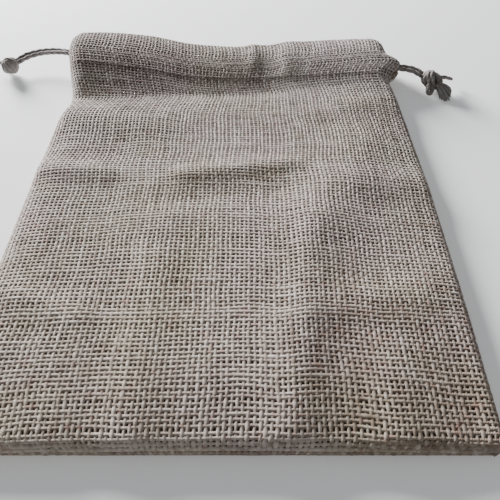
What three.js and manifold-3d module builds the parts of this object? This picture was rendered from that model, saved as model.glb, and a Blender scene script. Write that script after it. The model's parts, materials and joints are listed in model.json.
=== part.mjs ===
// A small drawstring bag of natural jute hessian, lying empty on its back panel.
// Millimetres. +X runs across the bag, +Y from the bottom seam to the mouth, +Z up.
// The origin is on the surface that the bag lies on, halfway between the bottom seam and the mouth.
import * as THREE from 'three';
import { mergeVertices } from 'three/addons/utils/BufferGeometryUtils.js';
import Module from 'manifold-3d';

const wasm = await Module();
wasm.setup();

// ---- Driving dimensions ----
const LENGTH = 258; // from the bottom seam to the mouth, as the bag lies
const CLOTH = 1.2; // thickness of the hessian
const SEAM_GAP = 1.1; // between the two panels where they are sewn together
const LAYER_GAP = 0.5; // between the layers of a hem where it is stitched
const SIDE_ROLL = 5; // radius of the turned seams round the body
const END_ROLL = 9; // radius of the casing's ends
const BOTTOM_CORNER = 5;
const MOUTH_CORNER = 6;
const EDGE_LOFT = 7.1; // height of the front panel just inside its seams
const MIDDLE_LOFT = 3.2; // how much higher the middle of the bag stands
const FRONT_TUNNEL = 4.2; // clear height for the cords in the front casing
const BACK_TUNNEL = 3.7;
const STITCH_TAPER = 9; // length over which a tunnel opens from its stitch line
const HEM_PAST_STITCH = 8; // hem beyond its stitch line
const HEM_ENDS = { left: -88, right: 81 }; // x where the hems stop, so that cords can turn inside
const CORD = 2.8; // diameter of a drawcord
const CORD_STEPS = 64;
const EXIT_OPENING = 5.2; // gap between the panels where the cords come out
const EXIT_REACH = 9; // half the length of that gap, along the side

// ---- Side seams: where they run, seen from above, and how high they lie ----
// y from the bottom seam; left and right are x; leftZ and rightZ are heights.
const SIDES = [
  { y: 0, left: -95.5, right: 96.5, leftZ: 2.8, rightZ: 2.8 },
  { y: 55, left: -97.8, right: 98.2, leftZ: 2.8, rightZ: 2.8 },
  { y: 125, left: -98.6, right: 99.2, leftZ: 3.0, rightZ: 3.0 },
  { y: 185, left: -97.6, right: 98.4, leftZ: 3.0, rightZ: 3.0 },
  { y: 207, left: -95.2, right: 97.4, leftZ: 3.6, rightZ: 3.4 },
  { y: 217, left: -96.6, right: 96.2, leftZ: 4.8, rightZ: 4.6 },
  { y: 226, left: -98.8, right: 95.2, leftZ: 7.2, rightZ: 7.2 },
  { y: 236, left: -101.0, right: 103.0, leftZ: 9.8, rightZ: 9.7 },
  { y: 243, left: -102.7, right: 97.0, leftZ: 11.1, rightZ: 10.3 },
  { y: 262, left: -104.0, right: 96.0, leftZ: 12.4, rightZ: 10.8 },
];
const EXITS = { left: 251, right: 236 }; // y of the two places where cords come out

// ---- The mouth: crease under the casing, stitch line, crest and folded edge ----
const MOUTH = [
  { x: -100, creaseY: 207, creaseZ: 7.4, stitchY: 233, crestZ: 21.4, edgeY: 263 },
  { x: -78, creaseY: 209, creaseZ: 7.6, stitchY: 232, crestZ: 20.8, edgeY: 264.2 },
  { x: -50, creaseY: 210, creaseZ: 7.8, stitchY: 228, crestZ: 19.5, edgeY: 261.6 },
  { x: -25, creaseY: 210, creaseZ: 8, stitchY: 223, crestZ: 17.8, edgeY: 255.2 },
  { x: 8, creaseY: 210, creaseZ: 8.4, stitchY: 221, crestZ: 17.6, edgeY: 252 },
  { x: 34, creaseY: 212, creaseZ: 10, stitchY: 222, crestZ: 17.8, edgeY: 256 },
  { x: 60, creaseY: 215, creaseZ: 10.8, stitchY: 224, crestZ: 18.1, edgeY: 258.8 },
  { x: 85, creaseY: 217, creaseZ: 11.2, stitchY: 226, crestZ: 18.5, edgeY: 260.2 },
  { x: 100, creaseY: 219, creaseZ: 10.8, stitchY: 228, crestZ: 18.6, edgeY: 260 },
];
const CREASE_WIDTH = 8; // how far the crease's slope reaches into the body
const BACK_STITCH_Y = 225;
const BACK_EDGE_Y = 256;

// ---- Main folds of the front panel ----
// A soft ridge (lift above 0) or trough from one end to the other; wide is its spread to each side.
const FOLDS = [
  // on the body, from the crease down to the bottom seam
  { fromX: -20, fromY: 136, toX: 26, toY: 143, wide: 6, lift: 1.6 }, // wrinkle across the middle
  { fromX: -28, fromY: 118, toX: 22, toY: 124, wide: 7, lift: -0.8 }, // trough below it
  { fromX: -92, fromY: 141, toX: -64, toY: 138, wide: 8, lift: 2 }, // short wrinkle from the left seam
  { fromX: -86, fromY: 186, toX: -52, toY: 178, wide: 14, lift: 2.6 }, // swell under the casing's left end
  { fromX: -86, fromY: 170, toX: -84, toY: 44, wide: 13, lift: 1.5 }, // roll of the seam allowance, left
  { fromX: -54, fromY: 165, toX: -52, toY: 84, wide: 14, lift: -0.8 }, // hollow beside it
  { fromX: 50, fromY: 112, toX: 68, toY: 160, wide: 18, lift: 2.2 }, // broad upper end of the long ridge
  { fromX: 38, fromY: 106, toX: 22, toY: -6, wide: 9, lift: 1.6 }, // long ridge, right of the middle
  { fromX: 46, fromY: 40, toX: 44, toY: -4, wide: 12, lift: -0.6 }, // trough beside its foot
  { fromX: 66, fromY: 196, toX: 90, toY: 204, wide: 11, lift: 1.8 }, // swell under the casing's right end
  { fromX: 70, fromY: 130, toX: 94, toY: 131, wide: 11, lift: 1.2 }, // wrinkle from the right seam
  { fromX: 46, fromY: 56, toX: 78, toY: 63, wide: 9, lift: 1 }, // short wrinkle, low on the right
  { fromX: -90, fromY: 62, toX: -60, toY: 54, wide: 7, lift: 1 }, // short wrinkle, low on the left
  { fromX: -47, fromY: 60, toX: -45, toY: -6, wide: 8, lift: -0.8 }, // trough up from the bottom seam
  { fromX: -29, fromY: 108, toX: -29, toY: 2, wide: 8, lift: 0.8 }, // ridge beside it
  { fromX: 62, fromY: 24, toX: 60, toY: -6, wide: 9, lift: 1.2 }, // ridge up from the bottom seam
  { fromX: 84, fromY: 28, toX: 88, toY: -4, wide: 8, lift: -0.8 }, // bottom right corner, pressed flat
  // on the casing
  { fromX: 12, fromY: 232, toX: 12, toY: 258, wide: 4, lift: 1 }, // upright fold in the casing
  { fromX: 23, fromY: 230, toX: 24, toY: 256, wide: 6, lift: -0.5 }, // hollow beside it
  { fromX: 33, fromY: 222, toX: 35, toY: 250, wide: 6, lift: 0.8 }, // second upright fold
];

// ---- Drawcords: the cords' routes, and the knots that tie their ends ----
// Each cord runs from its knot through the front casing, turns down inside the far end of the casing,
// comes back through the back casing and ends in the same knot.
const LEFT_ROUTE = [
  [-138.6, 251, 7.2], [-134.4, 255.2, 8.2], [-126, 258, 9.4], [-115, 257, 10.8], [-105, 253.4, 11.8],
  [-97.4, 250.8, 13.4], [-90, 249.6, 17.5], [-80, 249, 17], [-70, 248.6, 16.6], [-50, 246.8, 15.6],
  [-38, 245, 14.8], [-25, 242.8, 14], [-8, 241.2, 13.8], [8, 240.8, 13.8], [34, 243.4, 14],
  [60, 245, 14.2], [80, 246.2, 14.6],
  [84.8, 246.4, 13.8], [88.8, 246.5, 8.6], [84.8, 246.4, 3.7],
  [80, 246.2, 3.05], [40, 245, 3.05], [0, 244, 3.05], [-45, 245, 3.05], [-80, 246, 3.05],
  [-89.6, 246.6, 3.05], [-94.4, 247.8, 5.4], [-99, 249.2, 10], [-105, 250.3, 11.9],
  [-114.6, 253.9, 10.6], [-125, 255, 9], [-132, 252.9, 7.8], [-136.5, 249.1, 7],
];
const RIGHT_ROUTE = [
  [117.1, 233.4, 7.8], [112.4, 236.6, 9], [106, 237.9, 9.7], [99, 238.3, 10.3],
  [92, 239.2, 11.7], [80, 239.6, 13.9], [60, 238.6, 13.3], [34, 236.6, 13.1], [20, 235.4, 13],
  [8, 234.8, 13], [-8, 235.2, 13], [-25, 236.4, 13.1], [-38, 238.2, 13.8], [-50, 240.2, 14.8],
  [-70, 242.2, 15.9], [-87, 243, 16.6],
  [-93, 243.2, 15.5], [-96, 243.2, 9.2], [-93.8, 243.2, 4.7],
  [-89.6, 243, 3.1], [-78, 242.6, 3.05], [-40, 240, 3.05], [0, 239, 3.05], [45, 239.4, 3.05],
  [74, 239.6, 3.05], [83.6, 238.8, 3.05], [88.6, 237.2, 4.9], [93.8, 235.6, 8.2], [99, 234.6, 10],
  [106, 234.2, 9.7], [111.6, 233, 8.8], [115.2, 230.2, 7.8],
];
// A knot is three wraps of doubled cord round a core. What stands out of it is given as a thickness and
// then a route: the left knot's two free ends, and the right knot's frayed end, cut end and tight bight.
const KNOTS = [
  {
    name: 'knot_left', x: -141.8, y: 245.4, z: 6.2, turn: 62, wrap: 3.5, tube: 2.3,
    ends: [
      [CORD, [-144.6, 246.6, 6.8], [-147.6, 248, 6.8], [-150.4, 249, 6.2], [-152.8, 249.8, 5.2]],
      [CORD, [-143, 248, 5], [-145.4, 250.6, 3.6], [-147.8, 253, 2.4], [-150, 255.2, 1.9]],
    ],
  },
  {
    name: 'knot_right', x: 121.6, y: 228, z: 6.3, turn: -52, wrap: 3.7, tube: 2.4,
    ends: [
      [4.6, [122.2, 226.8, 6], [126, 221.8, 4.1], [128.2, 217, 2.9], [129.2, 212.6, 2.6]],
      [2.2, [124.4, 229.4, 7.2], [128.4, 231, 6.6], [132.4, 232.2, 5.4], [136, 233.2, 3.8]],
      [4.4, [121, 225.6, 6.2], [119.4, 222.2, 4.6], [119, 219.6, 3.2]],
    ],
  },
];

// ---- Small helpers ----
const mix = THREE.MathUtils.lerp;
const clamp01 = (value) => THREE.MathUtils.clamp(value, 0, 1);
const smooth = (value) => THREE.MathUtils.smoothstep(value, 0, 1);
const quarterRound = (value) => Math.sqrt(1 - (1 - clamp01(value)) ** 2);

// One column of a table at a place, on a smooth curve through its rows.
function readTable(table, along, at, column) {
  let row = table.findIndex((entry) => entry[along] > at) - 1;
  if (row < 0) row = at < table[0][along] ? 0 : table.length - 2;
  const value = (index) => table[THREE.MathUtils.clamp(index, 0, table.length - 1)][column];
  const place = clamp01((at - table[row][along]) / (table[row + 1][along] - table[row][along]));
  const slopeIn = (value(row + 1) - value(row - 1)) / 2;
  const slopeOut = (value(row + 2) - value(row)) / 2;
  const p2 = place * place;
  const p3 = p2 * place;
  return (2 * p3 - 3 * p2 + 1) * value(row) + (p3 - 2 * p2 + place) * slopeIn
    + (3 * p2 - 2 * p3) * value(row + 1) + (p3 - p2) * slopeOut;
}

// How much a rounded corner of this radius draws a side in, this far from the corner.
function cornerInset(distance, radius) {
  return radius * (1 - quarterRound(distance / radius));
}

// ---- Shape of the front panel ----
function foldHeight(x, y) {
  let height = 0;
  for (const fold of FOLDS) {
    const alongX = fold.toX - fold.fromX;
    const alongY = fold.toY - fold.fromY;
    const long = Math.hypot(alongX, alongY);
    const along = ((x - fold.fromX) * alongX + (y - fold.fromY) * alongY) / long;
    const across = ((x - fold.fromX) * alongY - (y - fold.fromY) * alongX) / long;
    const past = Math.max(-along, along - long, 0) / (1.6 * fold.wide);
    height += fold.lift * Math.exp(-((across / fold.wide) ** 2) - past ** 2);
  }
  return height;
}

// Heights and places at the mouth for one x.
function mouthAt(x) {
  const read = (column) => readTable(MOUTH, 'x', x, column);
  const foldRadius = CLOTH + FRONT_TUNNEL / 2;
  return {
    creaseY: read('creaseY'),
    creaseZ: read('creaseZ'),
    stitchY: read('stitchY'),
    crestZ: read('crestZ'),
    foldY: read('edgeY') - foldRadius,
    foldRadius,
  };
}

// Height of the front panel's outer face, before its sides are rolled down. The hem leaves out the folds.
function frontHeight(x, y, foldShare = 1) {
  const mouth = mouthAt(x);
  const folds = foldShare * foldHeight(x, y);
  if (y > mouth.creaseY) {
    const place = (y - mouth.creaseY) / (mouth.foldY - mouth.creaseY);
    const rise = Math.sin(1.15 * clamp01(place) * Math.PI / 2) ** 1.2;
    return mix(mouth.creaseZ, mouth.crestZ, rise) + folds * smooth(place * 2);
  }
  const acrossBag = clamp01(1 - Math.abs(x / 98) ** 3);
  const fromBottom = 1 - (1 - clamp01(y / 45)) ** 2;
  const body = EDGE_LOFT + MIDDLE_LOFT * acrossBag * fromBottom;
  const nearCrease = Math.exp(-(((mouth.creaseY - y) / CREASE_WIDTH) ** 2));
  return mix(body + folds, mouth.creaseZ, nearCrease);
}

// ---- Rows and columns of cloth ----
// Columns are close together where the sides roll over, and even between.
const ROLL_STATIONS = [0, 0.05, 0.24, 0.6, 1];
const FRONT_COLUMNS = 17;
const BACK_COLUMNS = 8;
function columnStations(count) {
  const left = ROLL_STATIONS.map((roll) => ({ side: 'left', roll }));
  const middle = [];
  for (let i = 1; i <= count; i += 1) middle.push({ side: 'middle', part: i / (count + 1) });
  const right = ROLL_STATIONS.map((roll) => ({ side: 'right', roll })).reverse();
  return [...left, ...middle, ...right];
}

// x of a column, with its sides drawn in by an inset, or tucked in (0 to 1) to where a hem ends.
function columnX(column, y, inset, tucked = 0) {
  const left = mix(readTable(SIDES, 'y', y, 'left') + inset, HEM_ENDS.left, tucked);
  const right = mix(readTable(SIDES, 'y', y, 'right') - inset, HEM_ENDS.right, tucked);
  const roll = mix(SIDE_ROLL, END_ROLL, smooth((y - 205) / 25));
  if (column.side === 'left') return left + column.roll * roll;
  if (column.side === 'right') return right - column.roll * roll;
  return mix(left + roll, right - roll, column.part);
}

// How far a point lies inside the nearer side, as a part of the roll there, and that side's seam.
function sideAt(x, y, inset) {
  const left = readTable(SIDES, 'y', y, 'left') + inset;
  const right = readTable(SIDES, 'y', y, 'right') - inset;
  const onLeft = x - left < right - x;
  const name = onLeft ? 'left' : 'right';
  const roll = mix(SIDE_ROLL, END_ROLL, smooth((y - 205) / 25));
  const fromExit = Math.abs(y - EXITS[name]) / EXIT_REACH;
  return {
    inside: (onLeft ? x - left : right - x) / roll,
    seamZ: readTable(SIDES, 'y', y, `${name}Z`),
    opening: Math.max(SEAM_GAP, EXIT_OPENING * (1 - Math.min(1, fromExit) ** 4)),
  };
}

// Rows of a panel from its bottom seam, over the mouth's fold, to the end of the hem inside.
const BODY_ROWS = 19;
const CASING_PLACES = [0, 0.12, 0.25, 0.38, 0.51, 0.64, 0.77, 0.89, 1];
const FOLD_ANGLES = [55, 20, -20, -55];
const HEM_PLACES = [0, 0.16, 0.33, 0.48, 0.62, 0.74, 0.87, 1];
function panelRows() {
  const seam = ROLL_STATIONS.slice(0, -1).map((roll) => ({ part: 'seam', at: roll * SIDE_ROLL }));
  const body = [];
  for (let i = 0; i < BODY_ROWS; i += 1) body.push({ part: 'body', at: i / BODY_ROWS });
  const casing = CASING_PLACES.map((at) => ({ part: 'casing', at }));
  const fold = FOLD_ANGLES.map((at) => ({ part: 'fold', at }));
  const hem = HEM_PLACES.map((at) => ({ part: 'hem', at }));
  return [...seam, ...body, ...casing, ...fold, ...hem];
}
const ROWS = panelRows();

// A closed sheet of cloth: its outer face as placed, its inner face one thickness inside, and its rim.
function clothSheet(place, outward, middleColumns) {
  const columns = columnStations(middleColumns);
  const outer = ROWS.map((row) => columns.map((column) => place(row, column)));
  const lastRow = ROWS.length - 1;
  const lastColumn = columns.length - 1;
  const inner = outer.map((line, i) => line.map((point, j) => {
    const across = line[Math.min(j + 1, lastColumn)].clone().sub(line[Math.max(j - 1, 0)]);
    const along = outer[Math.min(i + 1, lastRow)][j].clone().sub(outer[Math.max(i - 1, 0)][j]);
    const normal = across.cross(along).multiplyScalar(outward);
    const atSide = j === 0 || j === lastColumn;
    if ((atSide || i === 0) && ['seam', 'body', 'casing'].includes(ROWS[i].part)) normal.z = 0;
    if (atSide && ROWS[i].part !== 'seam') normal.y = 0;
    return point.clone().addScaledVector(normal.normalize(), -CLOTH);
  }));
  const points = [...outer.flat(), ...inner.flat()]
    .map((point) => [point.x, point.y - LENGTH / 2, point.z]);
  const half = ROWS.length * columns.length;
  const index = (i, j) => i * columns.length + j;
  const faces = [];
  const quad = (a, b, c, d) => faces.push(...(outward > 0 ? [a, b, c, a, c, d] : [a, c, b, a, d, c]));
  for (let i = 0; i < lastRow; i += 1) {
    for (let j = 0; j < lastColumn; j += 1) {
      quad(index(i, j), index(i, j + 1), index(i + 1, j + 1), index(i + 1, j));
      quad(half + index(i, j), half + index(i + 1, j), half + index(i + 1, j + 1), half + index(i, j + 1));
    }
  }
  for (let j = 0; j < lastColumn; j += 1) {
    quad(index(0, j), half + index(0, j), half + index(0, j + 1), index(0, j + 1));
    quad(index(lastRow, j), index(lastRow, j + 1), half + index(lastRow, j + 1), half + index(lastRow, j));
  }
  for (let i = 0; i < lastRow; i += 1) {
    quad(index(i, 0), index(i + 1, 0), half + index(i + 1, 0), half + index(i, 0));
    const right = index(i, lastColumn);
    const rightNext = index(i + 1, lastColumn);
    quad(right, half + right, half + rightNext, rightNext);
  }
  const geometry = new THREE.BufferGeometry();
  geometry.setAttribute('position', new THREE.Float32BufferAttribute(points.flat(), 3));
  geometry.setIndex(faces);
  geometry.computeVertexNormals();
  return geometry;
}

// How far the cloth is tucked in towards the hem's ends, part of the way round the mouth's fold.
const tuckedAt = (angle) => smooth((FOLD_ANGLES[0] - angle) / (2 * FOLD_ANGLES[0]));

// A place on the front panel's outer face, which turns under at the mouth to become the hem.
function frontPlace(row, column) {
  const middleX = columnX(column, LENGTH / 2, 0);
  const mouth = mouthAt(middleX);
  const edgeY = mouth.foldY + mouth.foldRadius;
  if (row.part === 'fold') {
    const angle = THREE.MathUtils.degToRad(row.at);
    const y = mouth.foldY + mouth.foldRadius * Math.cos(angle);
    const x = columnX(column, y, cornerInset(edgeY - y, MOUTH_CORNER), tuckedAt(row.at));
    const top = frontSurface(x, mouth.foldY, cornerInset(mouth.foldRadius, MOUTH_CORNER));
    return new THREE.Vector3(x, y, top - mouth.foldRadius * (1 - Math.sin(angle)));
  }
  if (row.part === 'hem') {
    const y = mix(mouth.foldY, mouth.stitchY - HEM_PAST_STITCH, row.at);
    const x = columnX(column, y, 0, 1);
    const open = mix(LAYER_GAP, FRONT_TUNNEL, smooth((y - mouth.stitchY) / STITCH_TAPER));
    return new THREE.Vector3(x, y, frontHeight(x, y, 0) - 2 * CLOTH - open);
  }
  const bodyY = mix(SIDE_ROLL, mouth.creaseY, row.at);
  const y = { seam: row.at, body: bodyY, casing: mix(mouth.creaseY, mouth.foldY, row.at) }[row.part];
  const inset = Math.max(cornerInset(y, BOTTOM_CORNER), cornerInset(edgeY - y, MOUTH_CORNER));
  const x = columnX(column, y, inset);
  return new THREE.Vector3(x, y, frontSurface(x, y, inset));
}

// Height of the front panel's outer face, with its sides and bottom rolled down to the seam.
function frontSurface(x, y, inset) {
  const side = sideAt(x, y, inset);
  const seam = side.seamZ + side.opening / 2;
  return mix(seam, frontHeight(x, y), quarterRound(side.inside) * quarterRound(y / SIDE_ROLL));
}

// A place on the back panel's outer face: flat on the surface, its edges curled up to the seam,
// and its top turned up and over to become the hem.
function backPlace(row, column) {
  const foldRadius = CLOTH + BACK_TUNNEL / 2;
  const foldY = BACK_EDGE_Y - foldRadius;
  const creaseY = BACK_STITCH_Y - HEM_PAST_STITCH;
  if (row.part === 'fold') {
    const angle = THREE.MathUtils.degToRad(row.at);
    const y = foldY + foldRadius * Math.cos(angle);
    const x = columnX(column, y, cornerInset(BACK_EDGE_Y - y, MOUTH_CORNER), tuckedAt(row.at));
    const bottom = backSurface(x, foldY, cornerInset(foldRadius, MOUTH_CORNER));
    return new THREE.Vector3(x, y, bottom + foldRadius * (1 - Math.sin(angle)));
  }
  if (row.part === 'hem') {
    const y = mix(foldY, creaseY, row.at);
    const open = mix(LAYER_GAP, BACK_TUNNEL, smooth((y - BACK_STITCH_Y) / STITCH_TAPER));
    return new THREE.Vector3(columnX(column, y, 0, 1), y, 2 * CLOTH + open);
  }
  const bodyY = mix(SIDE_ROLL, creaseY, row.at);
  const y = { seam: row.at, body: bodyY, casing: mix(creaseY, foldY, row.at) }[row.part];
  const inset = Math.max(cornerInset(y, BOTTOM_CORNER), cornerInset(BACK_EDGE_Y - y, MOUTH_CORNER));
  const x = columnX(column, y, inset);
  return new THREE.Vector3(x, y, backSurface(x, y, inset));
}

function backSurface(x, y, inset) {
  const side = sideAt(x, y, inset);
  const seam = side.seamZ - side.opening / 2;
  return seam * (1 - quarterRound(side.inside) * quarterRound(y / SIDE_ROLL));
}

// ---- Cords and knots ----
function cordAlong(points, diameter, steps) {
  const path = new THREE.CatmullRomCurve3(
    points.map(([x, y, z]) => new THREE.Vector3(x, y - LENGTH / 2, z)),
    false,
    'centripetal',
  );
  const section = new THREE.Shape();
  const sides = 8;
  for (let i = 0; i < sides; i += 1) {
    const angle = (i / sides) * 2 * Math.PI;
    const corner = [(diameter / 2) * Math.cos(angle), (diameter / 2) * Math.sin(angle)];
    if (i === 0) section.moveTo(...corner);
    else section.lineTo(...corner);
  }
  section.closePath();
  return new THREE.ExtrudeGeometry(section, { steps, bevelEnabled: false, extrudePath: path });
}

function solid(geometry) {
  const bare = geometry.clone();
  bare.deleteAttribute('normal');
  bare.deleteAttribute('uv');
  const merged = mergeVertices(bare, 1e-4);
  return new wasm.Manifold(new wasm.Mesh({
    numProp: 3,
    vertProperties: new Float32Array(merged.attributes.position.array),
    triVerts: new Uint32Array(merged.index.array),
  }));
}

function geometryOf(manifold) {
  const mesh = manifold.getMesh();
  const geometry = new THREE.BufferGeometry();
  geometry.setAttribute('position', new THREE.BufferAttribute(new Float32Array(mesh.vertProperties), 3));
  geometry.setIndex(new THREE.BufferAttribute(new Uint32Array(mesh.triVerts), 1));
  geometry.computeVertexNormals();
  return geometry;
}

// One knot: a core, three wraps tilted against each other, and what stands out of it, as one solid.
const WRAP_TILTS = [-38, 4, 44];
function knotGeometry(knot) {
  const core = new THREE.SphereGeometry(knot.wrap, 12, 8);
  let whole = solid(core.translate(knot.x, knot.y - LENGTH / 2, knot.z));
  WRAP_TILTS.forEach((tilt, i) => {
    const wrap = new THREE.TorusGeometry(knot.wrap, knot.tube, 8, 14);
    wrap.rotateY(Math.PI / 2);
    wrap.rotateZ(THREE.MathUtils.degToRad(tilt));
    wrap.translate((i - 1) * 0.9, 0, 0);
    wrap.rotateZ(THREE.MathUtils.degToRad(knot.turn));
    wrap.translate(knot.x, knot.y - LENGTH / 2, knot.z);
    whole = whole.add(solid(wrap));
  });
  for (const [thick, ...route] of knot.ends) whole = whole.add(solid(cordAlong(route, thick, 6)));
  return geometryOf(whole);
}

// ---- The bag ----
const hessian = () => new THREE.MeshStandardMaterial({ color: 0xb3aa9c, roughness: 0.95, metalness: 0 });
const twine = () => new THREE.MeshStandardMaterial({ color: 0x8f8578, roughness: 0.95, metalness: 0 });
const group = new THREE.Group();
function addPiece(name, geometry, material) {
  const mesh = new THREE.Mesh(geometry, material);
  mesh.name = name;
  group.add(mesh);
}
addPiece('front_panel', clothSheet(frontPlace, 1, FRONT_COLUMNS), hessian());
addPiece('back_panel', clothSheet(backPlace, -1, BACK_COLUMNS), hessian());
addPiece('drawcord_left', cordAlong(LEFT_ROUTE, CORD, CORD_STEPS), twine());
addPiece('drawcord_right', cordAlong(RIGHT_ROUTE, CORD, CORD_STEPS), twine());
for (const knot of KNOTS) addPiece(knot.name, knotGeometry(knot), twine());

export default group;
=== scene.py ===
"""Dresses the jute drawstring pouch: woven cloth, hems, drawcords, knots, stitching, floor, light and camera.

Sizes are in millimetres until a mesh is made, and x, y and z are the frame's own. The cloth's forms and the
cords' routes repeat the part's driving sizes, so that each piece lies where its solid lies.
"""
import json
import logging
import math
from dataclasses import dataclass, field
from enum import Enum

import bpy
import numpy as np
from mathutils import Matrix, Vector

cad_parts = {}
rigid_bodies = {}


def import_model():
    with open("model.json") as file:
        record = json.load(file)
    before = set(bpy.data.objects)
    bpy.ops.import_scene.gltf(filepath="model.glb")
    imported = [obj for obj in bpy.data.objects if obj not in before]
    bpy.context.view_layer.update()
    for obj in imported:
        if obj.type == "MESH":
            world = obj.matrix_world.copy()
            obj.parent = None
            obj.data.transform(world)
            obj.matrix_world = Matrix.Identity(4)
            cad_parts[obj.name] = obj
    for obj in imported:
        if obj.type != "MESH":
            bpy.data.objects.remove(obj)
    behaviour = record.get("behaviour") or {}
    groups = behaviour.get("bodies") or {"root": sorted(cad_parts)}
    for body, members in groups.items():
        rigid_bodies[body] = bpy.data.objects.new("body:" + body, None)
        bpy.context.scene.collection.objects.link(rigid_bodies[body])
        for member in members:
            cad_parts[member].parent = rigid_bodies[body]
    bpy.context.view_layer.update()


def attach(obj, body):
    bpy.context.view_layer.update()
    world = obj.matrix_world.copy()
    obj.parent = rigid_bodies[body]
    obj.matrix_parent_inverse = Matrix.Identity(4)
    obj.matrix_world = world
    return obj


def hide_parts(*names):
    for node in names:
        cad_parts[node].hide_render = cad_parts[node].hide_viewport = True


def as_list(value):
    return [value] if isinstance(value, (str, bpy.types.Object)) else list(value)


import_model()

log = logging.getLogger("pouch")
MM = 0.001
Array = np.ndarray
Colour = tuple[float, float, float]


class End(Enum):
    """The end of the pouch's mouth that a cord comes out of."""

    LEFT = "left"
    RIGHT = "right"


class Way(Enum):
    """The way that a yarn runs: warps from the bottom seam to the mouth, wefts across."""

    WARP = "warp"
    WEFT = "weft"


class Face(Enum):
    """Which of the two panels, by the side that its outer face is on."""

    FRONT = 1
    BACK = -1


# ---- Sizes that the cloth, cords and knots share ----
@dataclass(frozen=True)
class BagSizes:
    """The pouch's driving sizes, in millimetres. Its one angle is in degrees."""

    length: float = 258.0
    cloth: float = 1.2
    seam_gap: float = 0.35
    layer_gap: float = 0.5
    side_roll: float = 5.0
    end_roll: float = 9.0
    end_roll_from: float = 205.0
    end_roll_over: float = 25.0
    bottom_corner: float = 5.0
    mouth_corner: float = 6.0
    edge_loft: float = 7.1
    middle_loft: float = 3.2
    loft_reach: float = 98.0
    loft_rise: float = 45.0
    fold_fade: float = 1.6
    casing_arch: float = 1.15
    casing_round: float = 1.2
    tuck_angle: float = 55.0
    front_tunnel: float = 4.2
    back_tunnel: float = 3.7
    stitch_taper: float = 9.0
    hem_past_stitch: float = 8.0
    hem_left: float = -88.0
    hem_right: float = 81.0
    exit_opening: float = 5.2
    exit_reach: float = 9.0
    exit_left: float = 251.0
    exit_right: float = 236.0
    crease_width: float = 8.0
    back_stitch: float = 225.0
    back_edge: float = 256.0
    cord: float = 2.8


@dataclass(frozen=True)
class SideStation:
    """Where the side seams run at one distance from the bottom seam, and how high they lie."""

    y: float
    left: float
    right: float
    left_z: float
    right_z: float


@dataclass(frozen=True)
class MouthStation:
    """The crease, stitch line, crest and folded edge of the casing at one x."""

    x: float
    crease_y: float
    crease_z: float
    stitch_y: float
    crest_z: float
    edge_y: float


@dataclass(frozen=True)
class Fold:
    """A soft ridge or trough in the front panel, from one point to another."""

    x0: float
    y0: float
    x1: float
    y1: float
    wide: float
    lift: float


SIZES = BagSizes()
SIDES = (
    SideStation(0, -95.5, 96.5, 2.8, 2.8),
    SideStation(55, -97.8, 98.2, 2.8, 2.8),
    SideStation(125, -98.6, 99.2, 3.0, 3.0),
    SideStation(185, -97.6, 98.4, 3.0, 3.0),
    SideStation(207, -95.2, 97.4, 3.6, 3.4),
    SideStation(217, -96.6, 96.2, 4.8, 4.6),
    SideStation(226, -98.8, 95.2, 7.2, 7.2),
    SideStation(236, -101.0, 103.0, 9.8, 9.7),
    SideStation(243, -102.7, 97.0, 11.1, 10.3),
    SideStation(262, -104.0, 96, 12.4, 10.8),
)
MOUTH = (
    MouthStation(-100, 207, 7.4, 233, 21.4, 263),
    MouthStation(-78, 209, 7.6, 232, 20.8, 264.2),
    MouthStation(-50, 210, 7.8, 228, 19.5, 261.6),
    MouthStation(-25, 210, 8, 223, 17.8, 255.2),
    MouthStation(8, 210, 8.4, 221, 17.6, 252),
    MouthStation(34, 212, 10, 222, 17.8, 256),
    MouthStation(60, 215, 10.8, 224, 18.1, 258.8),
    MouthStation(85, 217, 11.2, 226, 18.5, 260.2),
    MouthStation(100, 219, 10.8, 228, 18.6, 260),
)
FOLDS = (
    Fold(-20, 136, 26, 143, 6, 1.6),  # wrinkle across the middle
    Fold(-28, 118, 22, 124, 7, -0.8),  # trough below it
    Fold(-92, 141, -64, 138, 8, 2),  # short wrinkle from the left seam
    Fold(-86, 186, -52, 178, 14, 2.6),  # swell under the casing's left end
    Fold(-86, 170, -84, 44, 13, 1.5),  # roll of the seam allowance, left
    Fold(-54, 165, -52, 84, 14, -0.8),  # hollow beside it
    Fold(50, 112, 68, 160, 18, 2.2),  # broad upper end of the long ridge
    Fold(38, 106, 22, -6, 9, 1.6),  # long ridge, right of the middle
    Fold(46, 40, 44, -4, 12, -0.6),  # trough beside its foot
    Fold(66, 196, 90, 204, 11, 1.8),  # swell under the casing's right end
    Fold(70, 130, 94, 131, 11, 1.2),  # wrinkle from the right seam
    Fold(46, 56, 78, 63, 9, 1),  # short wrinkle, low on the right
    Fold(-90, 62, -60, 54, 7, 1),  # short wrinkle, low on the left
    Fold(-47, 60, -45, -6, 8, -0.8),  # trough up from the bottom seam
    Fold(-29, 108, -29, 2, 8, 0.8),  # ridge beside it
    Fold(62, 24, 60, -6, 9, 1.2),  # ridge up from the bottom seam
    Fold(84, 28, 88, -4, 8, -0.8),  # bottom right corner, pressed flat
    Fold(12, 232, 12, 258, 4, 1),  # upright fold in the casing
    Fold(23, 230, 24, 256, 6, -0.5),  # hollow beside it
    Fold(33, 222, 35, 250, 6, 0.8),  # second upright fold
)
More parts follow.
